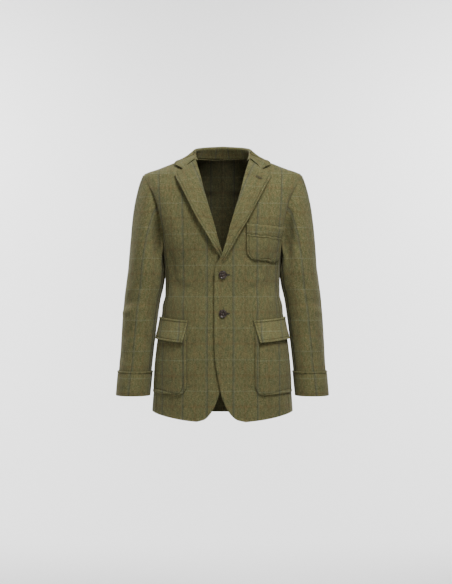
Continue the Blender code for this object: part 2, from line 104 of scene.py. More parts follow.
# Body rings, from the hem to the neck
BODY_COLUMNS = ("z", "half_width", "front", "back", "squareness")
BODY = (
    (-0.716, 0.1985, 0.128, 0.123, 2.30),
    (-0.600, 0.1895, 0.128, 0.125, 2.30),
    (-0.487, 0.1785, 0.122, 0.114, 2.25),
    (-0.420, 0.1700, 0.116, 0.103, 2.25),
    (-0.340, 0.1600, 0.113, 0.098, 2.20),
    (-0.285, 0.1625, 0.115, 0.106, 2.30),
    (-0.225, 0.1735, 0.119, 0.118, 2.50),
    (-0.150, 0.1910, 0.112, 0.126, 2.80),
    (-0.090, 0.2090, 0.095, 0.122, 2.80),
    (-0.035, 0.2220, 0.064, 0.105, 2.45),
    (-0.016, 0.1760, 0.050, 0.096, 2.30),
    (0.0034, 0.1270, 0.036, 0.085, 2.20),
    (0.0175, 0.0870, 0.025, 0.074, 2.10),
    (0.0300, 0.0500, 0.015, 0.063, 2.00),
)
HEM = -0.716
HEM_FADE_TOP = -0.500
HEM_RISE_SIDE = 0.024
HEM_RISE_BACK = 0.010
ARMPIT = -0.225
SHOULDER_TIP = -0.035
SIDE_SEAM_FRONT = math.radians(68)
SIDE_SEAM_BACK = math.radians(112)
SHOULDER_SEAM = math.radians(90)
BACK_SEAM = math.radians(180)

# Front edge, then the roll line up to the neck
EDGE_COLUMNS = ("z", "left", "right")
EDGE = (
    (-0.716, 0.0620, 0.0700),
    (-0.708, 0.0380, 0.0480),
    (-0.695, 0.0235, 0.0350),
    (-0.673, 0.0095, 0.0215),
    (-0.636, -0.0040, 0.0080),
    (-0.600, -0.0115, -0.0020),
    (-0.567, -0.0170, -0.0100),
    (-0.530, -0.0215, -0.0160),
    (-0.420, -0.0225, -0.0180),
    (-0.310, -0.0215, -0.0180),
    (-0.285, -0.0150, -0.0130),
    (-0.250, 0.0012, 0.0012),
    (-0.165, 0.0253, 0.0253),
    (-0.0857, 0.0491, 0.0491),
    (-0.033, 0.0625, 0.0625),
    (0.008, 0.0770, 0.0770),
    (0.0175, 0.0845, 0.0845),
)
OVERLAP_LIFT = 0.0028
OVERLAP_FULL = 0.026
OVERLAP_END = 0.075
EDGE_STAND = 0.0030
EDGE_GIVE = 0.0022
EDGE_CALM_TOP = -0.290
EDGE_CALM_FADE = 0.05
EDGE_STAND_WIDTH = 0.014
GIVE_IN = 0.004
GIVE_WIDTH = 0.008
# Where the lapels cross, the left one rolls out and the right front gives way
CROSS_LEVEL = -0.270
CROSS_LENGTH = 0.032
CROSS_OUT = 0.0050
CROSS_IN = 0.0060

# Armhole in front view
ARMHOLE_COLUMNS = ("z", "front", "back")
ARMHOLE = (
    (-0.225, 0.1635, 0.1635),
    (-0.200, 0.1700, 0.1725),
    (-0.181, 0.1743, 0.1775),
    (-0.150, 0.1815, 0.1855),
    (-0.118, 0.1890, 0.1935),
    (-0.085, 0.1985, 0.2025),
    (-0.060, 0.2085, 0.2110),
    (-0.035, 0.2215, 0.2215),
)

# Left sleeve rings below the sleeve head
SLEEVE_COLUMNS = ("z", "x", "y", "half_width", "half_depth")
SLEEVE = (
    (-0.646, 0.2492, -0.016, 0.0447, 0.054),
    (-0.574, 0.2428, -0.010, 0.0457, 0.057),
    (-0.487, 0.2355, 0.000, 0.0478, 0.062),
    (-0.384, 0.2247, 0.006, 0.0508, 0.068),
    (-0.340, 0.2176, 0.006, 0.0527, 0.070),
    (-0.300, 0.2137, 0.004, 0.0511, 0.071),
)
SLEEVE_HEAD_END = -0.300
SLEEVE_END = -0.646
SLEEVE_ROOT_GAP = 0.0008
# How the lines of the sleeve head leave the armhole and arrive at the first level ring: inner and outer side
HEAD_LEAVE_X = (-0.010, 0.090)
HEAD_LEAVE_Z = (-0.070, -0.190)
HEAD_FORWARD = 0.030
HEAD_ARRIVE_X = (-0.012, 0.026)
HEAD_ARRIVE_Z = (-0.090, -0.250)
# Columns of its grid at which the sleeve's seams lie
SLEEVE_FRONT_SEAM = 60
SLEEVE_BACK_SEAM = 114
# The last row tucks in behind the armhole's edge
TUCK_IN = 0.0050
TUCK_UP = 0.0010
TUCK_DEEP = 0.0022
TUCK_LENGTH = 0.0050
# Creases fade at both ends of the sleeve, its check is laid out at one level, and it touches the body
SLEEVE_CALM_END = 0.05
SLEEVE_CALM_TOP = 0.03
SLEEVE_CALM_HEAD = 0.06
SLEEVE_MAP_LEVEL = -0.40
SLEEVE_TOUCH = 0.0040
TOUCH_LEVEL = -0.290
TOUCH_LENGTH = 0.045
CUFF_TOP = -0.580
CUFF_BOTTOM = -0.6485
CUFF_WAVE = 0.06

# Lapel: the height on the roll line, and the lapel's outer edge level with it
LAPEL_COLUMNS = ("along", "roll_z", "edge_x", "edge_z")
LAPEL = {
    "left": (
        (0.00, -0.2900, 0.0000, -0.2930),
        (0.12, -0.2620, 0.0130, -0.2640),
        (0.26, -0.2220, 0.0340, -0.2240),
        (0.47, -0.1600, 0.0740, -0.1560),
        (0.70, -0.0920, 0.1086, -0.0910),
        (0.88, -0.0330, 0.1275, -0.0565),
        (1.00, 0.0025, 0.1346, -0.0425),
    ),
    "right": (
        (0.00, -0.2620, 0.0035, -0.2720),
        (0.16, -0.2220, 0.0300, -0.2240),
        (0.40, -0.1600, 0.0710, -0.1560),
        (0.66, -0.0920, 0.1046, -0.0910),
        (0.86, -0.0330, 0.1235, -0.0560),
        (1.00, 0.0025, 0.1306, -0.0396),
    ),
}
LAPEL_LENGTH = 0.29
LAPEL_EDGE_OUT = 0.0030
LAPEL_ROLL_OUT = 0.0026
LAPEL_STAND = {"left": 0.0085, "right": 0.0110}
LAPEL_STAND_FROM = {"left": 0.30, "right": 0.10}
LAPEL_FLATTER = 0.75
LAPEL_FLATTER_FROM = 0.75
LAPEL_SUNK = 0.14
LAPEL_UNDER = 0.15
LAPEL_WAVE = 0.08
GORGE_TUCK = 0.0030
GORGE_START = 0.90
GORGE_END = 0.58
GORGE_FADE = 0.08

# Collar, from its front end at the gorge to the middle of the back
COLLAR_COLUMNS = ("along", "fold_x", "fold_y", "fold_z", "stand_angle",
                  "knee_angle", "knee_z", "knee_out", "edge_angle", "edge_z")
COLLAR = (
    (0.00, 0.0730, -0.0285, 0.0100, 62, 30.8, -0.0220, 0.0034, 42.5, -0.0150),
    (0.30, 0.0785, 0.0060, 0.0380, 92, 90, 0.0110, 0.0055, 90, 0.0040),
    (0.64, 0.0590, 0.0470, 0.0480, 135, 138, 0.0130, 0.0090, 138, -0.0030),
    (1.00, 0.0000, 0.0630, 0.0530, 180, 180, 0.0150, 0.0110, 180, -0.0060),
)
COLLAR_KNEE = 0.72
COLLAR_EDGE_OUT = 0.0034
COLLAR_ROLL = 0.0045
COLLAR_ROLL_DOWN = 0.7
COLLAR_FOOT_IN = 0.006
COLLAR_FOOT_DOWN = 0.004
COLLAR_FALL_POINTS = 40
COLLAR_HALF_LENGTH = 0.19
STAND_GAP = 0.0012
NECK_AXIS_Y = 0.020

# Pockets: heights, front edge in front view, side edge as an angle, corner radius, and how much higher
# the side end of each sits than its front end
POCKET = {"top": -0.448, "bottom": -0.6515, "side": math.radians(79), "corner": 0.028, "side_round": 0.1,
          "tilt": -0.012, "edge": "wide", "line": 0.004}
POCKET_FRONT_X = {"left": 0.0885, "right": 0.0970}
FLAP = {"top": -0.4345, "bottom": -0.4955, "side": math.radians(79.5), "tilt": 0.010}
FLAP_TOP_X = {"left": 0.0835, "right": 0.0915}
FLAP_BOTTOM_X = {"left": 0.0980, "right": 0.1045}
CHEST = {"top": -0.1800, "bottom": -0.2755, "front_x": 0.0640, "corner": 0.026, "side_round": 1.0,
         "tilt": -0.009, "edge": "swelled", "line": 0.003}
CHEST_SIDE_COLUMNS = ("z", "x")
CHEST_SIDE = ((-0.278, 0.1525), (-0.225, 0.1595), (-0.178, 0.1680))
CHEST_BAND_HEIGHT = 0.034
BAND_HIGH = 0.0024
BAND_TOP_ROUND = 0.0035
BAND_FLAT = 0.008
BAND_FADE = 0.022
POCKET_BAG = 0.0026
POCKET_OUT = LAY + WALL
FLAP_OUT = POCKET_OUT + LAY + WALL
FLAP_STAND = 0.0055
FLAP_CORNER = 0.0025
FLAP_CORNER_WIDTH = 0.03

# Buttons
BUTTON_RADIUS = 0.0112
BUTTON_THICK = 0.0042
BUTTON_SHANK_HIGH = 0.0008
BUTTONS = {"button_upper": -0.314, "button_lower": -0.420}
BUTTON_X = 0.0010
BUTTON_RINGS = 44
BUTTON_TURNS = 56
BUTTON_FACE_END = 0.42
BUTTON_HOLE_OUT = 0.0021
BUTTON_HOLE_RADIUS = 0.0011
BUTTON_HOLE_DEEP = 0.0018
BUTTON_PROFILE_COLUMNS = ("along", "radius", "height")
BUTTON_PROFILE = (
    (0.00, 0.01, 0.76),
    (0.30, 0.62, 0.74),
    (0.42, 0.72, 0.80),
    (0.50, 0.82, 0.98),
    (0.58, 0.92, 0.97),
    (0.68, 1.00, 0.66),
    (0.80, 0.95, 0.24),
    (0.90, 0.74, 0.02),
    (1.00, 0.01, 0.00),
)

# Worked buttonholes: behind each button, and in the left lapel
BUTTONHOLE_HALF = 0.0019
BUTTONHOLE_THREAD = 0.0007
BUTTONHOLE_START = 0.0015
BUTTONHOLE_REACH = 0.0200
BUTTONHOLE_OUT = 0.0002
BUTTONHOLE_POINTS = 64
LAPEL_HOLE = {"start": (0.0920, -0.0440), "end": (0.1075, -0.0525), "out": 0.0062}
EYE_WIDER = 0.7
EYE_PLACE = -0.85
EYE_LENGTH = 0.3
SLIT_SHARE = 0.9
SLIT_WIDTH = 0.8
THREAD_TURNS = 8
THREAD_TIP = 0.05

# Colours of the cloth and its yarns, of horn and of thread, as linear light
TWEED_STOPS = ((0.28, (0.032, 0.034, 0.012)), (0.45, (0.084, 0.084, 0.034)), (0.56, (0.126, 0.120, 0.052)),
               (0.72, (0.250, 0.235, 0.125)))
WARM_STOPS = ((0.30, (0.078, 0.091, 0.040)), (0.50, (0.105, 0.099, 0.040)), (0.70, (0.148, 0.111, 0.045)))
FLECK_DARK = (0.030, 0.026, 0.008)
FLECK_PALE = (0.260, 0.225, 0.110)
RUST = (0.100, 0.040, 0.014)
TEAL = (0.060, 0.095, 0.085)
PALE = (0.210, 0.240, 0.150)
NAVY = (0.016, 0.022, 0.034)
HORN_STOPS = ((0.30, (0.008, 0.005, 0.003)), (0.52, (0.034, 0.024, 0.018)), (0.75, (0.110, 0.080, 0.060)))
OLIVE_THREAD_STOPS = ((0.35, (0.040, 0.034, 0.014)), (0.70, (0.090, 0.078, 0.036)))
THREAD_STOPS = ((0.35, (0.006, 0.005, 0.002)), (0.70, (0.022, 0.018, 0.009)))

# How the yarns are mixed into cloth: marks and strength of the flecks, and how each grain lightens it
HUE_SHARE = 0.55
DARK_FLECKS = (0.30, 0.40, 0.35)
PALE_FLECKS = (0.30, 0.38, 0.40)
YARN_SHOWS = (1.1, 0.42)
BROAD_SHADE = 0.34
STREAK_SHADE = 1.1
# Base lightness of the cloth: its painted light times the first, less the second
CLOTH_LIGHT = 0.83
LIGHT_DROP = 0.55
# How much the painted shade carried by each piece darkens the cloth
PAINTED_SHADE_STRENGTH = 0.50
STREAK_STRETCH = (1.0, 0.42, 1.0)
TWILL = {"Scale": 150.0, "Distortion": 2.5, "Detail": 2.0, "Detail Scale": 3.0}
TWILL_HIGH = 0.35
NAP_HIGH = 0.8
CLOTH_SHINE = {"Roughness": 0.95, "Specular IOR Level": 0.15, "Sheen Weight": 0.12, "Sheen Roughness": 0.55,
               "Sheen Tint": (0.90, 0.86, 0.62, 1.0)}
HORN_STRETCH = (1.0, 1.0, 0.35)
HORN_ROUGH = (0.20, 0.16)
THREAD_ROUGH = 0.8
# Bumps of each finish: their strength and depth
CLOTH_BUMPS = (0.55, 0.0011)
HORN_BUMPS = (0.15, 0.0004)
THREAD_BUMPS = (0.4, 0.0003)

# Grain of the finishes: how fine each cloud of values is, its detail and its roughness
GRAIN_COLUMNS = ("Scale", "Detail", "Roughness")
GRAIN = {
    "heather": (300.0, 3.0, 0.65),
    "flecks": (620.0, 2.0, 0.6),
    "streaks": (190.0, 3.0, 0.6),
    "warm": (130.0, 3.0, 0.6),
    "broad": (14.0, 2.0, 0.5),
    "nap": (900.0, 3.0, 0.7),
    "horn": (420.0, 4.0, 0.6),
    "strands": (1500.0, 3.0, 0.6),
}

# Check of the cloth: repeats across and down, and where its lines fall on each piece, across and up
CHECK_ACROSS = 0.068
CHECK_DOWN = 0.0855
CHECK_LEVEL = -0.3735
# Lines of the check: their way, repeat, offset, half width, strength and tone
CHECK_LINES = (
    ("across", CHECK_ACROSS, CHECK_ACROSS / 2, 0.0050, 0.12, RUST),
    ("down", CHECK_DOWN, CHECK_DOWN / 2, 0.0050, 0.16, RUST),
    ("across", CHECK_ACROSS, 0.0034, 0.0034, 0.16, TEAL),
    ("down", CHECK_DOWN, 0.0, 0.0022, 0.16, PALE),
    ("across", CHECK_ACROSS, 0.0, 0.0024, 0.36, NAVY),
)
CHECK_CORE = 0.35
FIRST_LINE = {"left": 0.0286, "right": 0.0410}
SLEEVE_LINE = (0.0835, 0.020)
CUFF_LINE = (-0.031, 0.031)
LAPEL_LINE = (0.058, 0.02)
COLLAR_LINE = 0.03
FLAP_LINE = (0.007, -0.010)
BAND_LINE = (-0.006, 0.006)

# Flaps catch more light than the cloth they lie on, so they get a copy of the cloth with painted light
FLAP_PAINTED_LIGHT = 1.40

# Studio: the sweep of paper, the lights, and the camera at the photograph's scale
SWEEP_RADIUS = 1.5
SWEEP_FLOOR = -1.45
SWEEP_BEHIND = 2.2
SWEEP_FRONT = -6.0
SWEEP_TOP = 5.0
SWEEP_HALF_WIDTH = 7.0
SWEEP_COUNT = 24
PAPER = (0.93, 0.93, 0.93, 1.0)
PAPER_ROUGH = 0.9
ROOM_LIGHT = 0.16
JACKET_MIDDLE = (0.0, 0.0, -0.33)
# Lights: their name, place, size, power and aim
LAMPS = (
    ("key", (0.55, -1.35, 1.55), 0.8, 73.0, JACKET_MIDDLE),
    ("fill", (-1.5, -3.2, 0.9), 1.6, 19.0, JACKET_MIDDLE),
    ("back", (-1.6, 1.1, 1.3), 0.6, 50.0, JACKET_MIDDLE),
    ("paper_left", (-1.9, 2.1, 0.6), 1.2, 95.0, (-0.9, 3.7, -0.2)),
    ("paper_right", (1.9, 2.1, 0.6), 1.2, 95.0, (0.9, 3.7, -0.2)),
)
METRES_PER_PIXEL = 0.0028
PHOTO_HEIGHT_PIXELS = 584
CAMERA_RIGHT_PIXELS = 3.5
CAMERA_DOWN_PIXELS = 11.0
CAMERA_FAR = 4.0
SENSOR_HEIGHT = 36.0

# Distances from an edge at which a cloth edge is modelled: its rounding, then its row of stitches
EDGE_STEPS = np.array([0.0, 0.0002, 0.0006, 0.0011, 0.0018, 0.0028, 0.0040, 0.0052, 0.0060, 0.0066,
                       0.0072, 0.0082, 0.0095, 0.0105, 0.0113, 0.0122, 0.0138, 0.0160])

# Seams and edges that stay calm, the valley along the lower armhole, the sleeve's hollow, and the painted
# shade in deep troughs
CALM_WIDTH = 0.030
FRONT_CALM_START = 0.015
FRONT_CALM_WIDTH = 0.05
VALLEY_TOP = -0.120
VALLEY_DEEP = 0.0085
VALLEY_WIDTH = 0.010
VALLEY_RISE = 0.03
VALLEY_FADE = 0.05
VALLEY_BEHIND = 0.5
VALLEY_SEAM = 0.9
SHOULDER_SEAM_LESS = 0.85
SLEEVE_SEAM = 1.9
SLEEVE_HOLLOW = 0.0140
HOLLOW_WIDTH = 0.026
HOLLOW_TURN = 0.35
HOLLOW_FADE = 0.7
TROUGH_SHADE = 0.55
TROUGH_START = 0.0035
TROUGH_FULL = 0.0085

# Soft waves of each kind of piece: the seeds of its left and right one, and their size
WAVE_COLUMNS = ("left", "right", "size")
WAVES = {
    "front": (7, 8, 0.0008),
    "side": (11, 11, 0.0003),
    "back": (27, 28, 0.0010),
    "sleeve": (35, 36, 0.0010),
    "cuff": (51, 52, 0.0005),
    "lapel": (57, 58, 0.0005),
}
WAVE_LENGTHS = (0.31, 0.19, 0.12, 0.083)
WAVE_LEAN = 0.6

# How far a row of the chest band sways, and how its waves run
BAND_SWAY = 0.0011
SWAY_TURN = 31.0
SWAY_SHIFT = 2.0
SWAY_SHIFT_TURN = 7.0

# Creases: how they bend, then a row for each: where it lies across its piece and how high, its length, width
# and depth, and its turn in degrees
CREASE_BEND = 0.18
CREASE_SWING = 3.1
CREASE_PHASE = 90
FRONT_CREASES = (
    (0.030, -0.330, 0.070, 0.010, 0.0018, 18),
    (0.045, -0.300, 0.060, 0.012, -0.0014, 38),
    (0.060, -0.352, 0.065, 0.012, 0.0014, -14),
    (0.120, -0.345, 0.060, 0.014, 0.0025, 8),
    (0.135, -0.385, 0.055, 0.014, -0.0018, 16),
    (0.150, -0.300, 0.060, 0.013, 0.0021, 62),
    (0.125, -0.130, 0.075, 0.016, 0.0023, 74),
    (0.165, -0.250, 0.050, 0.012, 0.0021, 58),
    (0.050, -0.560, 0.120, 0.018, 0.0018, 84),
    (0.110, -0.675, 0.050, 0.018, -0.0016, 86),
)
BACK_CREASES = (
    (0.040, -0.335, 0.080, 0.010, 0.0037, 6),
    (0.095, -0.360, 0.070, 0.009, 0.0034, -12),
    (0.120, -0.320, 0.060, 0.009, -0.0031, -20),
    (0.030, -0.070, 0.070, 0.011, 0.0031, 12),
    (0.150, -0.160, 0.090, 0.011, 0.0037, 72),
    (0.080, -0.580, 0.140, 0.014, 0.0037, 86),
    (0.140, -0.620, 0.110, 0.013, -0.0031, 88),
)
SIDE_CREASES = (
    (0.000, -0.372, 0.050, 0.012, 0.0018, 4),
    (0.010, -0.400, 0.045, 0.012, -0.0014, -10),
    (-0.010, -0.520, 0.080, 0.016, 0.0014, 84),
)
SLEEVE_CREASES = (
    (0.060, -0.385, 0.050, 0.012, 0.0035, 20),
    (0.040, -0.415, 0.055, 0.011, -0.0028, 10),
    (0.075, -0.355, 0.048, 0.011, 0.0032, 34),
    (0.110, -0.395, 0.050, 0.012, 0.0037, -8),
    (0.130, -0.430, 0.048, 0.012, 0.0030, -20),
    (0.090, -0.470, 0.060, 0.014, 0.0025, 14),
    (0.070, -0.540, 0.060, 0.016, 0.0022, -12),
    (0.085, -0.255, 0.070, 0.013, 0.0032, 66),
    (0.105, -0.235, 0.065, 0.012, -0.0028, 74),
    (0.255, -0.370, 0.060, 0.013, 0.0032, -10),
    (0.275, -0.410, 0.060, 0.013, 0.0030, 8),
    (0.240, -0.260, 0.075, 0.014, 0.0032, -64),
    (0.010, -0.330, 0.070, 0.018, 0.0018, 82),
    (0.330, -0.480, 0.070, 0.018, 0.0018, 84),
)


def column(table, columns, name):
    """One named column of a table, as an array."""
    return np.array([row[columns.index(name)] for row in table], dtype=float)


def smooth(xs, ys, at):
    """A monotone cubic through the points of a table, held at its ends."""
    step = np.diff(xs)
    slope = np.diff(ys) / step
    product = slope[:-1] * slope[1:]
    total = np.where(product > 0, slope[:-1] + slope[1:], 1.0)
    tangent = np.concatenate([slope[:1], np.where(product > 0, 2 * product / total, 0.0), slope[-1:]])
    at = np.clip(at, xs[0], xs[-1])
    k = np.clip(np.searchsorted(xs, at, side="right") - 1, 0, len(step) - 1)
    w = (at - xs[k]) / step[k]
    start = (1 + 2 * w) * (1 - w) ** 2 * ys[k] + w * (1 - w) ** 2 * step[k] * tangent[k]
    end = w * w * (3 - 2 * w) * ys[k + 1] + w * w * (w - 1) * step[k] * tangent[k + 1]
    return start + end


def look_up(table, columns, key, name, at):
    """The smooth value of one column at a place along another."""
    return smooth(column(table, columns, key), column(table, columns, name), at)


def body(name, z):
    """One measure of the body at a height."""
    return look_up(BODY, BODY_COLUMNS, "z", name, z)


def ease(value):
    """0 to 1 with level ends: 3v^2 - 2v^3."""
    value = np.clip(value, 0.0, 1.0)
    return value * value * (3 - 2 * value)


def unit(vectors):
    """Vectors of length one."""
    return vectors / np.maximum(np.linalg.norm(vectors, axis=-1, keepdims=True), 1e-12)


def blend(pair, share):
    """From the first value of a pair to the second."""
    return pair[0] + (pair[1] - pair[0]) * share


def row_height(level, angle):
    """The height of a row of the cloth: the hem rises at the sides and a little at the back."""
    fade = ease((HEM_FADE_TOP - level) / (HEM_FADE_TOP - HEM))
    behind = np.where(np.cos(angle) < 0, np.cos(angle) ** 2, 0.0)
    return level + fade * (HEM_RISE_SIDE * np.sin(angle) ** 2 + HEM_RISE_BACK * behind)


def body_point(angle, level):
    """A rounded ring: x is the half width times a power of sine, y the depth times a power of cosine."""
    z = row_height(level, angle)
    power = 2.0 / body("squareness", z)
    cosine = np.cos(angle)
    sine = np.sin(angle)
    depth = np.where(cosine > 0, body("front", z), body("back", z))
    x = body("half_width", z) * np.sign(sine) * np.abs(sine) ** power
    y = -depth * np.sign(cosine) * np.abs(cosine) ** power
    return np.stack([x, y, z], axis=-1)


def body_patch(angle, level):
    """Points of the body's outer face, and which way it faces: the cross product of its two slopes."""
    angle, level = np.broadcast_arrays(angle, level)
    small = 1e-4
    across = body_point(angle + small, level) - body_point(angle - small, level)
    up = body_point(angle, level + small) - body_point(angle, level - small)
    return body_point(angle, level), unit(np.cross(across, up))


def angle_at(x, z):
    """The angle at which the front half of the ring at a height reaches x."""
    share = np.clip(np.abs(x) / body("half_width", z), 0.0, 0.9999)
    return np.sign(x) * np.arcsin(share ** (body("squareness", z) / 2.0))


def front_lift(x, side):
    """How far a front stands out: the left one lies over the right one near the middle."""
    if side == "right":
        return np.zeros_like(x)
    return OVERLAP_LIFT * ease((OVERLAP_END - x) / (OVERLAP_END - OVERLAP_FULL))


def grid_normals(points):
    """Which way a grid faces: its slope along the rows crossed with its slope up the rows."""
    return unit(np.cross(np.gradient(points, axis=1), np.gradient(points, axis=0)))


def closed_normals(points):
    """The same for a grid whose rows are closed rings."""
    wrapped = np.concatenate([points[:, -1:], points, points[:, :1]], axis=1)
    return grid_normals(wrapped)[:, 1:-1]


def lengths(points, axis):
    """Distance run along a grid, from its first row or column."""
    step = np.linalg.norm(np.diff(points, axis=axis), axis=-1)
    start = np.zeros_like(np.take(step, [0], axis=axis))
    return np.concatenate([start, np.cumsum(step, axis=axis)], axis=axis)


def edge_shares(span, count):
    """Shares from 0 to 1 across strips of the given spans: close together near both edges, even between."""
    span = np.atleast_1d(np.asarray(span, dtype=float))[:, None]
    scale = np.minimum(1.0, EDGE_PART * span / EDGE_STEPS[-1])
    first = EDGE_STEPS[None, :] * scale / span
    middle = np.linspace(0.0, 1.0, count + 2)[None, 1:-1]
    inner = first[:, -1:] + (1 - 2 * first[:, -1:]) * middle
    return np.concatenate([first, inner, 1 - first[:, ::-1]], axis=1)


def soft_waves(piece, side, across, height):
    """A gentle unevenness of hung cloth: a sum of slanting sine waves with fixed phases."""
    waves = dict(zip(WAVE_COLUMNS, WAVES[piece]))
    draw = np.random.default_rng(waves[side])
    total = np.zeros(np.broadcast(across, height).shape)
    for wave in WAVE_LENGTHS:
        turn, phase = draw.uniform(0.0, 2 * math.pi, 2)
        along = across * math.cos(turn) + height * math.sin(turn) * WAVE_LEAN
        size = waves["size"] * (wave / WAVE_LENGTHS[0])
        total = total + size * np.sin(2 * math.pi * along / wave + phase)
    return total


def creases(across, height, table):
    """Soft troughs and ridges: each is a bell across its width and along its length, and a little bent."""
    total = np.zeros(np.broadcast(across, height).shape)
    for place, level, length, width, depth, turn in table:
        cosine = math.cos(math.radians(turn))
        sine = math.sin(math.radians(turn))
        along = (across - place) * cosine + (height - level) * sine
        aside = (height - level) * cosine - (across - place) * sine
        aside = aside - CREASE_BEND * width * np.sin(along / length * CREASE_SWING + place * CREASE_PHASE)
        total = total - depth * np.exp(-(aside / width) ** 2 - (along / length) ** 2)
    return total


def bell(distance, width):
    """1 at no distance, falling off on both sides: e to the minus square of distance over width."""
    return np.exp(-(distance / width) ** 2)


def edge_relief(distance, style):
    """Height of the cloth near an edge, and the painted shade in its stitched groove or in a seam's dip.

    swelled and wide: a puffed rim, then a stitched groove. rolled: a puffed rim. seam: the cloth dips into
    the join. soft: nothing.
    """
    if style in ("swelled", "wide"):
        stitched = STITCH_IN if style == "swelled" else WIDE_STITCH_IN
        groove_and_painted_shade = bell(distance - stitched, GROOVE_WIDTH)
        puff = bell(distance - stitched * PUFF_PLACE, stitched * PUFF_WIDTH)
        return PUFF_HIGH * puff - GROOVE_DEEP * groove_and_painted_shade, GROOVE_SHADE * groove_and_painted_shade
    if style == "rolled":
        return ROLLED_HIGH * bell(distance - ROLLED_PLACE, ROLLED_WIDTH), np.zeros_like(distance)
    if style == "seam":
        dip = bell(distance, SEAM_WIDTH)
        swell = bell(distance - SWELL_PLACE, SWELL_WIDTH)
        # the seam's dip carries painted shade
        return SWELL_HIGH * swell - SEAM_DEEP * dip, dip
    return np.zeros_like(distance), np.zeros_like(distance)


def quads(number):
    """The four-cornered faces of a grid of corner numbers."""
    corners = [number[:-1, :-1], number[:-1, 1:], number[1:, 1:], number[1:, :-1]]
    return np.stack(corners, axis=-1).reshape(-1, 4)


def end_caps(number):
    """The two flat ends of a grid of corner numbers whose rows are closed rings."""
    return [number[0, :0:-1], number[-1, 1:]]


def put_mesh(name, corners, faces, finish, uvs=None, painted_shade=None, caps=()):
    """A mesh object at the origin, smooth, with a cloth map per face corner and painted shade per corner."""
    mesh = bpy.data.meshes.new(name)
    mesh.from_pydata(corners.tolist(), [], faces.tolist() + [cap.tolist() for cap in caps])
    if uvs is not None:
        layer = mesh.uv_layers.new(name="cloth")
        layer.data.foreach_set("uv", np.ascontiguousarray(uvs, dtype=np.float32).ravel())
    shade = mesh.attributes.new("groove_and_painted_shade", "FLOAT", "POINT")
    shade.data.foreach_set("value", np.asarray(np.zeros(len(corners)) if painted_shade is None else painted_shade, np.float32))
    mesh.shade_smooth()
    mesh.materials.append(finish)
    mesh.update()
    made = bpy.data.objects.new(name, mesh)
    bpy.context.scene.collection.objects.link(made)
    return made


def shell(name, points, normals, out, cloth_map, finish, edges, relief=0.0, mirror=False, around=False,
          seam_depth=None, turn_in=0.0):
    """A closed thin cloth shell on a grid.

    The outer face lies out from the points and the inner face one wall further in. Near a free edge both
    draw together along a half round, so that the edge is a rounded fold of cloth. A stitched edge is turned
    in, so it is thicker on its inner side. Edges are given for the first and last column and row.
    """
    rows, cols = points.shape[:2]
    across = lengths(points, 1)
    up = lengths(points, 0)
    distances = {"start": across, "end": across[:, -1:] - across, "bottom": up, "top": up[-1:] - up}
    half = np.full((rows, cols), WALL / 2)
    lift = np.zeros((rows, cols)) + relief
    # painted shade in deep troughs, such as the armhole valley and the sleeve's hollow
    painted_shade = TROUGH_SHADE * ease((-lift - TROUGH_START) / (TROUGH_FULL - TROUGH_START))
    deep = np.zeros((rows, cols))
    for edge, style in edges.items():
        if style is None:
            continue
        raised, shade = edge_relief(distances[edge], style)
        if style == "seam" and seam_depth and edge in seam_depth:
            raised = raised * seam_depth[edge]
            shade = shade * seam_depth[edge]
        if style in ("swelled", "wide"):
            deep = np.maximum(deep, turn_in * bell(distances[edge], TURN_IN_WIDTH))
            # painted shade on the outermost row, where the turned-in side of the edge lies in shadow
            shade = np.maximum(shade, EDGE_SHADE * (distances[edge] < 1e-6))
        lift = lift + raised
        painted_shade = np.maximum(painted_shade, shade)
        if style in ("swelled", "wide", "soft", "rolled"):
            share = np.clip(distances[edge] / (WALL * EDGE_ROUND), 0.0, 1.0)
            half = np.minimum(half, WALL / 2 * np.sqrt(np.maximum(1 - (1 - share) ** 2, EDGE_LEAST)))
    middle = np.asarray(out) - WALL / 2 + lift
    outer = points + normals * (middle + half)[..., None]
    inner = points + normals * (middle - half - deep)[..., None]
    corners = np.concatenate([outer.reshape(-1, 3), inner.reshape(-1, 3)])
    number = np.arange(rows * cols).reshape(rows, cols)
    place = np.arange(cloth_map.shape[0] * cloth_map.shape[1]).reshape(cloth_map.shape[:2])
    if around:
        number = np.concatenate([number, number[:, :1]], axis=1)
    below = number + rows * cols

    def sides(over, under):
        """The faces of both sides and of the edges between them."""
        parts = [quads(over), quads(under[:, ::-1]), quads(np.stack([under[0], over[0]])),
                 quads(np.stack([over[-1], under[-1]]))]
        if not around:
            parts.append(quads(np.stack([over[:, 0], under[:, 0]], axis=0)))
            parts.append(quads(np.stack([under[:, -1], over[:, -1]], axis=0)))
        return np.concatenate(parts)

    faces = sides(number, below)
    uvs = cloth_map.reshape(-1, 2)[sides(place, place)]
    if mirror:
        corners = corners * np.array([-1.0, 1.0, 1.0])
        faces = faces[:, ::-1]
        uvs = uvs[:, ::-1]
    # the inner face carries painted shade
    shades = np.concatenate([painted_shade.ravel(), np.full(painted_shade.size, INSIDE_SHADE)])
    return put_mesh(name, corners, faces, finish, uvs, shades)


def sew(node, side, points, normals, out, cloth_map, finish, edges, relief, held, rests_on, slot, **more):
    """A piece of cloth that stands for its node: its shell, its ride on the jacket's body, and its cut."""
    piece = shell(node + "_cloth", points, normals, out, cloth_map, finish, edges, relief,
                  mirror=side == "right", **more)
    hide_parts(node)
    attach(piece, BODY_NAME)


def body_levels(low, high, count):
    """Heights of rows, close together at both ends for the edges."""
    return low + (high - low) * edge_shares(high - low, count)[0]


def side_boundary(half, level):
    """The outer boundary of a front or back at each level: side seam, armhole, shoulder seam."""
    armhole = angle_at(look_up(ARMHOLE, ARMHOLE_COLUMNS, "z", half, level), level)
    angle = np.where(level <= ARMPIT, SIDE_SEAM_FRONT, armhole)
    angle = np.where(level >= SHOULDER_TIP, SHOULDER_SEAM, angle)
    return angle if half == "front" else math.pi - angle


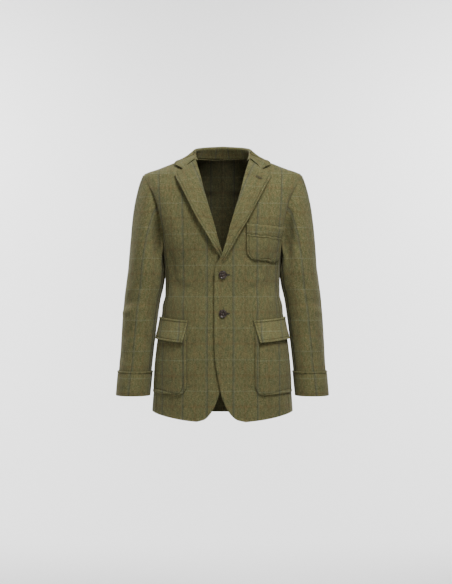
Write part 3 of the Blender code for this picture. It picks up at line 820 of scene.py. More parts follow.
def strip(start, end, level, count, tilt=0.0, inset=0.0, side_inset=0.0, sway=0.0):
    """A patch of the body between two angles at each level, with its columns close together at the edges.

    The tilt raises its side end over its front end, the insets draw the ends of a row in, and the sway lets
    a row rise and fall a little along its length.
    """
    first = (start + inset)[:, None]
    span = (end - side_inset)[:, None] - first
    rough = np.linspace(0.0, 1.0, ROUGH_COUNT)[None, :]
    path, _ = body_patch(first + span * rough, level[:, None])
    angle = first + span * edge_shares(lengths(path, 1)[:, -1], count)
    share = (angle - start[:, None]) / (end - start)[:, None]
    swing = np.sin(SWAY_TURN * share + SWAY_SHIFT * np.sin(SWAY_SHIFT_TURN * share))
    return body_patch(angle, level[:, None] + tilt * (share - 0.5) + np.reshape(sway, (-1, 1)) * swing)


def near_seam(points, edge):
    """0 at a seam and 1 well away from it, so that creases fade out where two panels are sewn together."""
    run = lengths(points, 1)
    distance = run if edge == "start" else run[:, -1:] - run
    return ease(distance / CALM_WIDTH)


def valley(level):
    """1 along the lower half of an armhole, where the seam lies in a valley, and 0 above it and below it."""
    return ease((level - ARMPIT) / VALLEY_RISE) * (1 - ease((level - VALLEY_TOP) / VALLEY_FADE))


def front_waves(across, height, side):
    """Creases and unevenness of a front, which fade towards its edge, its side seam and its armhole."""
    level = np.linspace(HEM, TOP_OF_PANELS, SEAM_COUNT)
    share = np.linspace(0.0, 1.0, SEAM_COUNT)
    ring, _ = body_patch(share[None, :] * side_boundary("front", level)[:, None], level[:, None])
    seam = np.interp(height, level, lengths(ring, 1)[:, -1])
    calm = ease((across - FRONT_CALM_START) / FRONT_CALM_WIDTH) * ease((seam - across) / CALM_WIDTH)
    waves = creases(across, height, FRONT_CREASES) + soft_waves("front", side, across, height)
    return calm * waves - VALLEY_DEEP * valley(height) * bell(seam - across, VALLEY_WIDTH)


def crossing(height):
    """A bell along the height, 1 where the lapels cross."""
    return bell(height - CROSS_LEVEL, CROSS_LENGTH)


def front(side, finish):
    """A front panel, from its edge and roll line to the side seam, the armhole and the shoulder seam."""
    level = body_levels(HEM, TOP_OF_PANELS, PANEL_ROWS)
    edge = look_up(EDGE, EDGE_COLUMNS, "z", side, level)
    points, normals = strip(angle_at(edge, level), side_boundary("front", level), level, PANEL_COLS)
    out = front_lift(points[..., 0], side)
    run = lengths(points, 1)
    across = edge[:, None] + run
    height = points[..., 2]
    cloth_map = np.stack([across - FIRST_LINE[side], height - CHECK_LEVEL], axis=-1)
    relief = front_waves(across, height, side)
    below_roll = 1 - ease((level[:, None] - EDGE_CALM_TOP) / EDGE_CALM_FADE)
    if side == "left":
        stand = EDGE_STAND * below_roll + CROSS_OUT * crossing(height)
        relief = relief + stand * bell(run, EDGE_STAND_WIDTH)
    else:
        over = -look_up(EDGE, EDGE_COLUMNS, "z", "left", level)[:, None]
        give = EDGE_GIVE * below_roll + CROSS_IN * crossing(height)
        relief = relief - give * bell(points[..., 0] - over + GIVE_IN, GIVE_WIDTH)
    shoulder = ease((level[:, None] - VALLEY_TOP) / VALLEY_FADE)
    depth = {"end": 1 + VALLEY_SEAM * valley(level)[:, None] - SHOULDER_SEAM_LESS * shoulder}
    edges = {"start": "rolled", "end": "seam", "bottom": "rolled", "top": None}
    sew("front_" + side, side, points, normals, out, cloth_map, finish, edges, relief,
        "hung", ["back_" + side], "tweed", seam_depth=depth)


def side_panel(side, finish):
    """A side body, between the two side seams, from the hem to the armpit."""
    level = body_levels(HEM, ARMPIT, SIDE_ROWS)
    start = np.full(len(level), SIDE_SEAM_FRONT)
    end = np.full(len(level), SIDE_SEAM_BACK)
    points, normals = strip(start, end, level, SIDE_COLS)
    across = lengths(points, 1) - lengths(points, 1)[:, -1:] / 2
    height = points[..., 2]
    cloth_map = np.stack([across + CHECK_ACROSS / 2, height - CHECK_LEVEL], axis=-1)
    relief = creases(across, height, SIDE_CREASES) + soft_waves("side", side, across, height)
    relief = relief * near_seam(points, "start") * near_seam(points, "end")
    edges = {"start": "seam", "end": "seam", "bottom": "soft", "top": None}
    sew("side_" + side, side, points, normals, 0.0, cloth_map, finish, edges, relief,
        "hung", ["front_" + side, "back_" + side], "tweed")


def back(side, finish):
    """A back panel, from the side seam, the armhole and the shoulder seam to the seam down the middle."""
    level = body_levels(HEM, TOP_OF_PANELS, PANEL_ROWS)
    middle = np.full(len(level), BACK_SEAM)
    points, normals = strip(side_boundary("back", level), middle, level, PANEL_COLS)
    across = lengths(points, 1)[:, -1:] - lengths(points, 1)
    height = points[..., 2]
    cloth_map = np.stack([CHECK_ACROSS / 2 - across, height - CHECK_LEVEL], axis=-1)
    calm = near_seam(points, "start") * near_seam(points, "end")
    relief = calm * (creases(across, height, BACK_CREASES) + soft_waves("back", side, across, height))
    edges = {"start": "seam", "end": "seam", "bottom": "soft", "top": None}
    sew("back_" + side, side, points, normals, 0.0, cloth_map, finish, edges, relief,
        "hung", ["collar"], "tweed")


def along(points, count):
    """A path through points, with its corners spread evenly along its length."""
    run = np.concatenate([[0.0], np.cumsum(np.linalg.norm(np.diff(points, axis=0), axis=1))])
    at = np.linspace(0.0, run[-1], count)
    return np.stack([np.interp(at, run, points[:, axis]) for axis in range(3)], axis=-1)


def armhole_ring():
    """The armhole from the shoulder tip down the front, under the arm and up the back, as a closed ring."""
    down = np.linspace(SHOULDER_TIP - 1e-5, ARMPIT, ARMHOLE_DOWN_COUNT)
    under = np.linspace(SIDE_SEAM_FRONT, SHOULDER_SEAM, ARMHOLE_UNDER_COUNT)[1:]
    flat = np.full(len(under), ARMPIT)
    tip = body_point(SHOULDER_SEAM, SHOULDER_TIP)[None]
    halves = []
    for half, turned in (("front", under), ("back", math.pi - under)):
        path = np.concatenate([tip, body_point(side_boundary(half, down), down), body_point(turned, flat)])
        halves.append(along(path, SLEEVE_COLS // 2 + 1))
    return np.concatenate([halves[0], halves[1][::-1][1:-1]])


def armhole_facing(ring):
    """Which way the body faces along the armhole's ring, whose first half is in front."""
    angle = angle_at(ring[:, 0], ring[:, 2])
    behind = np.arange(len(ring)) > len(ring) // 2
    _, facing = body_patch(np.where(behind, math.pi - angle, angle), ring[:, 2])
    return facing


def arm_ring(z, turn):
    """A level oval ring of the sleeve. Turn 0 is its outer side and a quarter turn its front."""
    place = {name: look_up(SLEEVE, SLEEVE_COLUMNS, "z", name, z) for name in SLEEVE_COLUMNS[1:]}
    x = place["x"] + place["half_width"] * np.cos(turn)
    y = place["y"] - place["half_depth"] * np.sin(turn)
    return np.stack([x, y, np.broadcast_to(z, x.shape)], axis=-1)


def sleeve_grid():
    """The whole left sleeve as rings from its end up to the armhole.

    Below the head the rings are level ovals. In the head each line of the cloth is a cubic, from the
    armhole, which it leaves outwards and downwards, to the first level ring.
    """
    turn = 2 * math.pi * np.arange(SLEEVE_COLS) / SLEEVE_COLS
    outer = ((1 + np.cos(turn)) / 2)[:, None]
    root = armhole_ring() + np.array([SLEEVE_ROOT_GAP, 0.0, 0.0])
    first = arm_ring(SLEEVE_HEAD_END, turn)
    forward = -HEAD_FORWARD * np.sin(turn)[:, None]
    leave = np.concatenate([blend(HEAD_LEAVE_X, outer), forward, blend(HEAD_LEAVE_Z, outer)], axis=1)
    level = np.zeros_like(outer)
    arrive = np.concatenate([blend(HEAD_ARRIVE_X, outer), level, blend(HEAD_ARRIVE_Z, outer)], axis=1)
    arm = arm_ring(body_levels(SLEEVE_END, SLEEVE_HEAD_END, ARM_ROWS)[:, None], turn[None, :])
    w = np.linspace(1.0, 0.0, HEAD_ROWS + 1)[1:, None, None]
    head = ((1 + 2 * w) * (1 - w) ** 2 * root + w * (1 - w) ** 2 * leave
            + w * w * (3 - 2 * w) * first + w * w * (w - 1) * arrive)
    tucked = root - unit(leave) * TUCK_UP - armhole_facing(root) * TUCK_DEEP
    tucked = tucked - np.array([TUCK_IN, 0.0, 0.0])
    return np.concatenate([arm, head, tucked[None]])


def sleeve(side, finish):
    """A sleeve in two halves, with creases at the elbow and below the arm.

    Along the lower armhole its root sinks with the front, and beyond the tuck it has a hollow that rises
    fast and falls off slowly: the distance times e to the minus distance.
    """
    points = sleeve_grid()
    turn = 2 * math.pi * np.arange(SLEEVE_COLS) / SLEEVE_COLS
    ring = armhole_ring()
    in_front = np.sin(turn) > 0
    run = lengths(points, 0)
    beyond = np.maximum(run[-1:] - run - TUCK_LENGTH, 0.0)
    sunk = VALLEY_DEEP * valley(ring[:, 2]) * in_front * bell(beyond, VALLEY_WIDTH)
    points = points - armhole_facing(ring) * sunk[..., None]
    normals = -closed_normals(points)
    reach = lengths(arm_ring(np.full((1, SLEEVE_COLS), SLEEVE_MAP_LEVEL), turn[None, :]), 1)
    across = np.broadcast_to(reach, points.shape[:2])
    height = points[..., 2]
    calm = ease((height - SLEEVE_END) / SLEEVE_CALM_END)
    calm = calm * ease((SHOULDER_TIP - SLEEVE_CALM_TOP - height) / SLEEVE_CALM_HEAD)
    near_body = np.clip(-np.cos(turn), 0.0, 1.0)[None, :]
    waves = creases(across, height, SLEEVE_CREASES) + soft_waves("sleeve", side, across, height)
    root = valley(ring[:, 2]) * np.where(in_front, 1.0, VALLEY_BEHIND)
    away = beyond / HOLLOW_WIDTH
    hollow = root * ease((HOLLOW_TURN - np.cos(turn)) / HOLLOW_FADE) * away * np.exp(1 - away)
    touch = near_body ** 2 * bell(height - TOUCH_LEVEL, TOUCH_LENGTH)
    relief = calm * (1 - near_body) * waves - SLEEVE_HOLLOW * hollow + SLEEVE_TOUCH * touch
    perimeter = float(reach[0, -1] + reach[0, 1])
    halves = {"top_sleeve_": range(SLEEVE_FRONT_SEAM, SLEEVE_BACK_SEAM - SLEEVE_COLS - 1, -1),
              "under_sleeve_": range(SLEEVE_BACK_SEAM, SLEEVE_FRONT_SEAM - 1, -1)}
    edges = {"start": "seam", "end": "seam", "bottom": "soft", "top": "seam"}
    for name, picked in halves.items():
        cols = np.array(picked) % SLEEVE_COLS
        wrap = np.where(np.array(picked) < 0, perimeter, 0.0)
        cloth_map = np.stack([across[:, cols] - SLEEVE_LINE[0] - wrap,
                              height[:, cols] - CHECK_LEVEL - SLEEVE_LINE[1]], axis=-1)
        sew(name + side, side, points[:, cols], normals[:, cols], 0.0, cloth_map, finish, edges,
            relief[:, cols], "hung", ["front_" + side, "back_" + side], "tweed",
            seam_depth={"top": SLEEVE_SEAM * root[cols]})


def cuff(side, finish):
    """The turn-back band that wraps the sleeve's end, with a stitched rim."""
    turn = -2 * math.pi * np.arange(SLEEVE_COLS) / SLEEVE_COLS
    height = body_levels(CUFF_BOTTOM, CUFF_TOP, CUFF_ROWS)
    points = arm_ring(np.maximum(height, SLEEVE_END)[:, None], turn[None, :])
    points[..., 2] = height[:, None]
    normals = closed_normals(points)
    reach = lengths(np.concatenate([points[:1], points[:1, :1]], axis=1), 1)
    spread = np.broadcast_to(reach, (len(height), SLEEVE_COLS + 1))
    tall = np.broadcast_to(height[:, None], spread.shape)
    cloth_map = np.stack([spread - CUFF_LINE[0], tall - CHECK_LEVEL - CUFF_LINE[1]], axis=-1)
    relief = soft_waves("cuff", side, np.sin(turn)[None, :] * CUFF_WAVE, height[:, None])
    edges = {"bottom": "soft", "top": "swelled"}
    sew("cuff_" + side, side, points, normals, LAY + WALL, cloth_map, finish, edges, relief,
        "laid", ["top_sleeve_" + side, "under_sleeve_" + side], "tweed_trim", around=True)


def lapel(side, finish):
    """A lapel, from the roll line to its stitched outer edge.

    Each row is a straight line in front view, laid on the front. It stands off most at the roll line, by the
    square of the share left, and again at its edge, by the square of the share run. The left one's lower end
    sinks into the front, and the right one's goes under the left front.
    """
    share = edge_shares(LAPEL_LENGTH, LAPEL_ROWS)[0]
    roll_z = look_up(LAPEL[side], LAPEL_COLUMNS, "along", "roll_z", share)
    edge_x = look_up(LAPEL[side], LAPEL_COLUMNS, "along", "edge_x", share)
    edge_z = look_up(LAPEL[side], LAPEL_COLUMNS, "along", "edge_z", share)
    roll_x = look_up(EDGE, EDGE_COLUMNS, "z", side, roll_z)
    width = np.hypot(edge_x - roll_x, edge_z - roll_z)[:, None]
    lay = edge_shares(width[:, 0], LAPEL_COLS)
    x = roll_x[:, None] + (edge_x - roll_x)[:, None] * lay
    z = roll_z[:, None] + (edge_z - roll_z)[:, None] * lay
    under_collar = ease((share[:, None] - GORGE_START) / (1 - GORGE_START))
    z = z + GORGE_TUCK * under_collar * (1 - ease((lay - GORGE_END) / GORGE_FADE))
    points, normals = body_patch(angle_at(x, z), z)
    flatter = LAPEL_FLATTER * ease((share - LAPEL_FLATTER_FROM) / (1 - LAPEL_FLATTER_FROM))
    risen = ease(share / LAPEL_STAND_FROM[side]) * (1 - flatter)
    stand = LAPEL_STAND[side] * lay ** 2 * risen[:, None]
    out = LAPEL_EDGE_OUT + LAPEL_ROLL_OUT * (1 - lay) ** 2 + stand
    if side == "right":
        out = out * ease(share / LAPEL_UNDER)[:, None]
    else:
        sunk = 1 - ease(share / LAPEL_SUNK)[:, None]
        out = out * (1 - sunk) - WALL / 2 * sunk
        out = out + CROSS_OUT * crossing(z) * bell(lay * width, EDGE_STAND_WIDTH)
    out = out + front_lift(points[..., 0], side)
    run = np.broadcast_to(lengths(points, 0)[:, :1], lay.shape)
    cloth_map = np.stack([lay * width + LAPEL_LINE[0] - width, run + LAPEL_LINE[1]], axis=-1)
    relief = front_waves(points[..., 0], points[..., 2], side)
    relief = relief + soft_waves("lapel", side, lay * LAPEL_WAVE, run)
    edges = {"start": "soft", "end": "swelled", "bottom": "soft", "top": None}
    sew("lapel_" + side, side, points, normals, out, cloth_map, finish, edges, relief,
        "folded", ["front_" + side], "tweed", turn_in=TURN_IN["lapel"])


def collar_section(share):
    """One section of the collar: up the stand on the neck's side, over the fold and down the fall."""
    at = {name: float(look_up(COLLAR, COLLAR_COLUMNS, "along", name, share)) for name in COLLAR_COLUMNS[1:]}
    fold = np.array([at["fold_x"], at["fold_y"], at["fold_z"]])
    outward = unit(np.array([fold[0], fold[1] - NECK_AXIS_Y, 0.0]))
    up = np.array([0.0, 0.0, 1.0])
    foot = body_point(math.radians(at["stand_angle"]), TOP_OF_PANELS) + up * STAND_GAP
    short = float(ease(share / COLLAR[1][0]))
    foot = foot * short + (fold - outward * COLLAR_FOOT_IN - up * COLLAR_FOOT_DOWN) * (1 - short)
    roll = COLLAR_ROLL * (1 + short) / 2
    inside = fold - outward * roll - up * roll
    outside = fold + outward * roll - up * roll * COLLAR_ROLL_DOWN
    knee_angle = math.radians(at["knee_angle"])
    edge_angle = math.radians(at["edge_angle"])
    knee, knee_normal = body_patch(knee_angle, at["knee_z"])
    edge, edge_normal = body_patch(edge_angle, at["edge_z"])
    knee = knee + knee_normal * at["knee_out"]
    edge = edge + edge_normal * COLLAR_EDGE_OUT
    down = np.linspace(0.0, 1.0, COLLAR_FALL_POINTS + 1)[1:]
    stops = np.array([0.0, COLLAR_KNEE, 1.0])
    hung = np.stack([outside, knee, edge])
    free = np.stack([smooth(stops, hung[:, axis], down) for axis in range(3)], axis=-1)
    turn = np.array([angle_at(outside[0], outside[2]), knee_angle, edge_angle])
    height = np.array([outside[2], at["knee_z"], at["edge_z"]])
    laid, facing = body_patch(np.interp(down, stops, turn), np.interp(down, stops, height))
    laid = laid + facing * (COLLAR_EDGE_OUT + COLLAR_ROLL / 3 * (1 - down)[:, None])
    fall = free * short + laid * (1 - short)
    path = np.concatenate([[foot, (foot + inside) / 2, inside, fold, outside], fall])
    run = np.concatenate([[0.0], np.cumsum(np.linalg.norm(np.diff(path, axis=0), axis=1))])
    wanted = edge_shares(run[-1], COLLAR_COLS)[0] * run[-1]
    return np.stack([smooth(run, path[:, axis], wanted) for axis in range(3)], axis=-1)


def collar(finish):
    """The collar, in one piece from gorge to gorge round the back of the neck."""
    shares = edge_shares(COLLAR_HALF_LENGTH, COLLAR_STATIONS)[0]
    shares = shares[shares <= 1 - EDGE_STEPS[-1] / COLLAR_HALF_LENGTH]
    half = np.stack([collar_section(share) for share in shares])
    middle = collar_section(1.0)[None]
    points = np.concatenate([half, middle, half[::-1] * np.array([-1.0, 1.0, 1.0])])
    run = lengths(points, 1)
    path = np.broadcast_to(lengths(points, 0)[:, -1:], run.shape)
    cloth_map = np.stack([path - path[len(half)] + CHECK_ACROSS / 2, run + COLLAR_LINE], axis=-1)
    edges = {"start": "soft", "end": "swelled", "bottom": None, "top": None}
    sew("collar", "both", points, grid_normals(points), 0.0, cloth_map, finish, edges, 0.0,
        "folded", ["back_left", "back_right"], "tweed", turn_in=TURN_IN["collar"])


def pocket(name, shape, start, end, side, finish):
    """A patch pocket: between two boundaries, drawn in at its lower corners along quarter rounds."""
    height = shape["top"] - shape["bottom"]
    level = body_levels(shape["bottom"], shape["top"], POCKET_ROWS)
    rise = level - shape["bottom"]
    corner = shape["corner"]
    inset = corner - np.sqrt(np.maximum(corner ** 2 - np.maximum(corner - rise, 0) ** 2, 0))
    reach = inset / body("half_width", level)
    points, normals = strip(start(level), end(level), level, POCKET_COLS, shape["tilt"], reach,
                            reach * shape["side_round"])
    out = front_lift(points[..., 0], side) + POCKET_OUT
    across = points[:, :1, 0] + lengths(points, 1)
    cloth_map = np.stack([across - FIRST_LINE[side] + shape["line"],
                          points[..., 2] - CHECK_LEVEL + shape["line"]], axis=-1)
    bag = np.sin(math.pi * np.clip(rise / height, 0, 1))[:, None] * POCKET_BAG
    relief = bag + front_waves(across, points[..., 2], side)
    edges = {"start": shape["edge"], "end": shape["edge"], "bottom": shape["edge"], "top": "swelled"}
    sew(name, side, points, normals, out, cloth_map, finish, edges, relief,
        "laid", ["front_" + side], "tweed_trim", turn_in=TURN_IN["pocket"])


def lower_pocket(side, finish):
    """A lower patch pocket, which reaches round to the side."""
    def start(level):
        """The angle of its front edge."""
        return angle_at(POCKET_FRONT_X[side], level)

    def end(level):
        """The angle of its side edge."""
        return np.full_like(level, POCKET["side"])

    pocket("pocket_" + side, POCKET, start, end, side, finish)


def flap(side, finish):
    """A slanting flap over a lower pocket's mouth, with a stitched welt along its top.

    It stands off by the square of the way down, and more at its front corner.
    """
    level = body_levels(FLAP["bottom"], FLAP["top"], FLAP_ROWS)
    share = (level - FLAP["bottom"]) / (FLAP["top"] - FLAP["bottom"])
    start = angle_at(blend((FLAP_BOTTOM_X[side], FLAP_TOP_X[side]), share), level)
    end = np.full(len(level), FLAP["side"])
    points, normals = strip(start, end, level, POCKET_COLS, FLAP["tilt"])
    run = lengths(points, 1)
    across = points[:, :1, 0] + run
    cloth_map = np.stack([across - FIRST_LINE[side] - FLAP_LINE[0],
                          points[..., 2] - CHECK_LEVEL - FLAP_LINE[1]], axis=-1)
    way_down = 1 - share[:, None]
    stand = FLAP_STAND * way_down ** 2 + FLAP_CORNER * way_down * bell(run, FLAP_CORNER_WIDTH)
    relief = stand + front_waves(across, points[..., 2], side)
    out = front_lift(points[..., 0], side) + FLAP_OUT
    edges = {"start": "swelled", "end": "swelled", "bottom": "swelled", "top": "swelled"}
    sew("flap_" + side, side, points, normals, out, cloth_map, finish, edges, relief,
        "laid", ["pocket_" + side, "front_" + side], "tweed_trim", turn_in=TURN_IN["flap"])


def chest_pocket(finish):
    """The patch pocket on the left breast, and the band across its mouth."""
    def start(level):
        """The angle of its front edge."""
        return angle_at(CHEST["front_x"], level)

    def end(level):
        """The angle of its side edge."""
        return angle_at(look_up(CHEST_SIDE, CHEST_SIDE_COLUMNS, "z", "x", level), level)

    pocket("pocket_chest", CHEST, start, end, "left", finish)
    level = body_levels(CHEST["top"] - CHEST_BAND_HEIGHT, CHEST["top"] + LAY, BAND_ROWS)
    sway = BAND_SWAY * (1 - ease((level - level[0]) / CHEST_BAND_HEIGHT) / 2)
    points, normals = strip(start(level), end(level), level, POCKET_COLS, CHEST["tilt"], sway=sway)
    across = points[:, :1, 0] + lengths(points, 1)
    cloth_map = np.stack([across - FIRST_LINE["left"] - BAND_LINE[0],
                          points[..., 2] - CHECK_LEVEL - BAND_LINE[1]], axis=-1)
    out = front_lift(points[..., 0], "left") + FLAP_OUT
    below_top = (CHEST["top"] - level)[:, None]
    swell = (1 - bell(below_top, BAND_TOP_ROUND)) * (1 - ease((below_top - BAND_FLAT) / BAND_FADE))
    relief = front_waves(across, points[..., 2], "left") + BAND_HIGH * swell
    edges = {"start": "swelled", "end": "swelled", "bottom": "swelled", "top": "rolled"}
    sew("chest_band", "left", points, normals, out, cloth_map, finish, edges, relief,
        "laid", ["pocket_chest"], "tweed_trim", turn_in=TURN_IN["chest_band"])


def add(tree, kind, **values):
    """A node of a kind, with its settings."""
    made = tree.nodes.new(kind)
    for name, value in values.items():
        setattr(made, name, value)
    return made


def feed(tree, node, sockets):
    """Fill a node's inputs: a socket is linked, and anything else is its value."""
    for key, value in sockets.items():
        if isinstance(value, bpy.types.NodeSocket):
            tree.links.new(value, node.inputs[key])
        else:
            node.inputs[key].default_value = value
    return node


def finish_tree(name):
    """A new finish, its node tree and its shader."""
    made = bpy.data.materials.new(name)
    made.use_nodes = True
    return made, made.node_tree, made.node_tree.nodes["Principled BSDF"]


def maths(tree, operation, first, second=0.0, third=0.0):
    """One sum on values."""
    node = add(tree, "ShaderNodeMath", operation=operation)
    return feed(tree, node, {0: first, 1: second, 2: third}).outputs[0]


def grain(tree, vector, name):
    """A cloud of values between 0 and 1."""
    sockets = dict(zip(GRAIN_COLUMNS, GRAIN[name]))
    return feed(tree, add(tree, "ShaderNodeTexNoise"), {"Vector": vector, **sockets}).outputs["Fac"]


def drawn_out(tree, vector, scale):
    """A place stretched along an axis, so that a grain on it is streaky."""
    return feed(tree, add(tree, "ShaderNodeMapping"), {"Vector": vector, "Scale": scale}).outputs["Vector"]


def bumps(tree, height, strength, distance):
    """A rough face from a cloud of heights."""
    node = add(tree, "ShaderNodeBump")
    return feed(tree, node, {"Height": height, "Strength": strength, "Distance": distance}).outputs["Normal"]


def ramp(tree, factor, stops):
    """Colours along a value."""
    node = add(tree, "ShaderNodeValToRGB")
    while len(node.color_ramp.elements) < len(stops):
        node.color_ramp.elements.new(0.5)
    for element, (place, colour) in zip(node.color_ramp.elements, stops):
        element.position = place
        element.color = (*colour, 1.0)
    return feed(tree, node, {"Fac": factor}).outputs["Color"]


def mixed(tree, factor, first, second, blend_type="MIX"):
    """Two colours mixed."""
    node = add(tree, "ShaderNodeMix", data_type="RGBA", blend_type=blend_type)
    colours = [value if isinstance(value, bpy.types.NodeSocket) else (*value, 1.0)
               for value in (first, second)]
    feed(tree, node, {0: factor, 6: colours[0], 7: colours[1]})
    return node.outputs[2]


def fade(tree, value, low, high, top=1.0):
    """A smooth step down: the top value below the low mark, 0 above the high one."""
    node = add(tree, "ShaderNodeMapRange", interpolation_type="SMOOTHSTEP")
    feed(tree, node, {"Value": value, "From Min": low, "From Max": high, "To Min": top, "To Max": 0.0})
    return node.outputs["Result"]


def check_line(tree, place, repeat, offset, width, strength, yarn):
    """How strongly a line of the check shows: bands a repeat apart, soft at the sides, broken by yarn."""
    shifted = maths(tree, "SUBTRACT", place, offset)
    wrapped = maths(tree, "WRAP", shifted, repeat / 2, -repeat / 2)
    line = fade(tree, maths(tree, "ABSOLUTE", wrapped), width * CHECK_CORE, width, strength)
    return maths(tree, "MULTIPLY", line, yarn)


def tweed_cloth(name, light):
    """Heathered olive tweed with a fine windowpane check, a twill weave and a short nap."""
    made, tree, shader = finish_tree(name)
    flat = add(tree, "ShaderNodeUVMap", uv_map="cloth").outputs["UV"]
    parts = feed(tree, add(tree, "ShaderNodeSeparateXYZ"), {"Vector": flat}).outputs
    ways = {"across": parts["X"], "down": parts["Y"]}
    drawn = drawn_out(tree, flat, STREAK_STRETCH)
    heather = grain(tree, flat, "heather")
    flecks = grain(tree, flat, "flecks")
    hue = ramp(tree, grain(tree, drawn, "warm"), WARM_STOPS)
    colour = mixed(tree, HUE_SHARE, ramp(tree, heather, TWEED_STOPS), hue)
    colour = mixed(tree, fade(tree, flecks, *DARK_FLECKS), colour, FLECK_DARK)
    pale = fade(tree, maths(tree, "SUBTRACT", 1.0, flecks), *PALE_FLECKS)
    colour = mixed(tree, pale, colour, FLECK_PALE)
    yarn = maths(tree, "MULTIPLY_ADD", heather, *YARN_SHOWS)
    for way, repeat, offset, width, strength, tone in CHECK_LINES:
        line = check_line(tree, ways[way], repeat, offset, width, strength, yarn)
        colour = mixed(tree, line, colour, tone)
    # painted light: a light above 1 makes the whole cloth lighter, as for the flaps
    base = CLOTH_LIGHT * light - LIGHT_DROP
    shade = maths(tree, "MULTIPLY_ADD", grain(tree, flat, "broad"), BROAD_SHADE, base)
    shade = maths(tree, "MULTIPLY_ADD", grain(tree, drawn, "streaks"), STREAK_SHADE, shade)
    # Painted shade carried by each piece: troughs, stitched grooves, seam dips, edge rows and inner faces
    # are darkened
    groove_and_painted_shade = add(tree, "ShaderNodeAttribute", attribute_name="groove_and_painted_shade").outputs["Fac"]
    shade = maths(tree, "MULTIPLY", shade, maths(tree, "MULTIPLY_ADD", groove_and_painted_shade, -PAINTED_SHADE_STRENGTH, 1.0))
    grey = feed(tree, add(tree, "ShaderNodeCombineColor"), {0: shade, 1: shade, 2: shade}).outputs[0]
    colour = mixed(tree, 1.0, colour, grey, "MULTIPLY")
    twill = add(tree, "ShaderNodeTexWave", wave_type="BANDS", bands_direction="DIAGONAL")
    feed(tree, twill, {"Vector": flat, **TWILL})
    weave = maths(tree, "MULTIPLY_ADD", twill.outputs["Fac"], TWILL_HIGH, heather)
    pile = maths(tree, "MULTIPLY_ADD", grain(tree, flat, "nap"), NAP_HIGH, weave)
    feed(tree, shader, {"Base Color": colour, "Normal": bumps(tree, pile, *CLOTH_BUMPS), **CLOTH_SHINE})
    return made


def horn():
    """Dark streaked horn with a soft polish."""
    made, tree, shader = finish_tree("button_horn")
    place = add(tree, "ShaderNodeTexCoord").outputs["Object"]
    streaks = grain(tree, drawn_out(tree, place, HORN_STRETCH), "horn")
    feed(tree, shader, {"Base Color": ramp(tree, streaks, HORN_STOPS),
                        "Normal": bumps(tree, streaks, *HORN_BUMPS),
                        "Roughness": maths(tree, "MULTIPLY_ADD", streaks, *HORN_ROUGH)})
    return made


def thread(name, stops):
    """Twisted thread."""
    made, tree, shader = finish_tree(name)
    strands = grain(tree, add(tree, "ShaderNodeTexCoord").outputs["Object"], "strands")
    feed(tree, shader, {"Base Color": ramp(tree, strands, stops),
                        "Normal": bumps(tree, strands, *THREAD_BUMPS), "Roughness": THREAD_ROUGH})
    return made


def seat_on_front(x, z, out):
    """A place on the left front's outer face, moved out, and which way it faces."""
    x = np.asarray(x, dtype=float)
    points, normals = body_patch(angle_at(x, z), np.asarray(z, dtype=float))
    return points + normals * (front_lift(x, "left") + out)[..., None], normals


def ring_numbers(rows, turns):
    """Corner numbers of closed rings, with each ring's first corner again at its end."""
    number = np.arange(rows * turns).reshape(rows, turns)
    return np.concatenate([number, number[:, :1]], axis=1)[:, ::-1]


def button(name, z, finish):
    """A turned button: a raised rim, a dished middle with four sewing holes, and a rounded back.

    Its surface is a profile of radius and height carried round, and each hole is a steep-sided pit.
    """
    share = np.linspace(0.0, 1.0, BUTTON_RINGS)[:, None]
    turn = 2 * math.pi * np.arange(BUTTON_TURNS) / BUTTON_TURNS
    radius = look_up(BUTTON_PROFILE, BUTTON_PROFILE_COLUMNS, "along", "radius", share) * BUTTON_RADIUS
    height = look_up(BUTTON_PROFILE, BUTTON_PROFILE_COLUMNS, "along", "height", share) * BUTTON_THICK
    side = radius * np.cos(turn)
    up = radius * np.sin(turn)
    top = share < BUTTON_FACE_END
    for hole_x, hole_z in ((-1, -1), (-1, 1), (1, -1), (1, 1)):
        away = np.hypot(side - hole_x * BUTTON_HOLE_OUT, up - hole_z * BUTTON_HOLE_OUT)
        height = height - top * BUTTON_HOLE_DEEP * np.exp(-(away / BUTTON_HOLE_RADIUS) ** 4)
    seat, _ = seat_on_front(BUTTON_X, z, BUTTON_SHANK_HIGH)
    points = np.stack([seat[0] + side, seat[1] - height, seat[2] + up], axis=-1)
    number = ring_numbers(BUTTON_RINGS, BUTTON_TURNS)
    piece = put_mesh(name + "_horn", points.reshape(-1, 3), quads(number), finish, caps=end_caps(number))
    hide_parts(name)
    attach(piece, BODY_NAME)


def sewn_thread(name, path, facing, radius, finish, closed=False):
    """A thread along a path: a small round section carried along it, with its ends drawn to points."""
    way = unit(np.gradient(path, axis=0))
    aside = unit(np.cross(way, facing))
    over = np.cross(aside, way)
    turn = 2 * math.pi * np.arange(THREAD_TURNS) / THREAD_TURNS
    run = lengths(path[:, None], 0)[:, 0]
    from_end = np.minimum(run, run[-1] - run)
    taper = np.ones(len(path)) if closed else ease(from_end / (2 * radius) + THREAD_TIP)
    ring = aside[:, None] * np.cos(turn)[None, :, None] + over[:, None] * np.sin(turn)[None, :, None]
    points = path[:, None] + ring * (radius * taper)[:, None, None]
    number = ring_numbers(len(path), THREAD_TURNS)
    caps = () if closed else end_caps(number)
    if closed:
        number = np.concatenate([number, number[:1]], axis=0)
    piece = put_mesh(name, points.reshape(-1, 3), quads(number), finish, caps=caps)
    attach(piece, BODY_NAME)


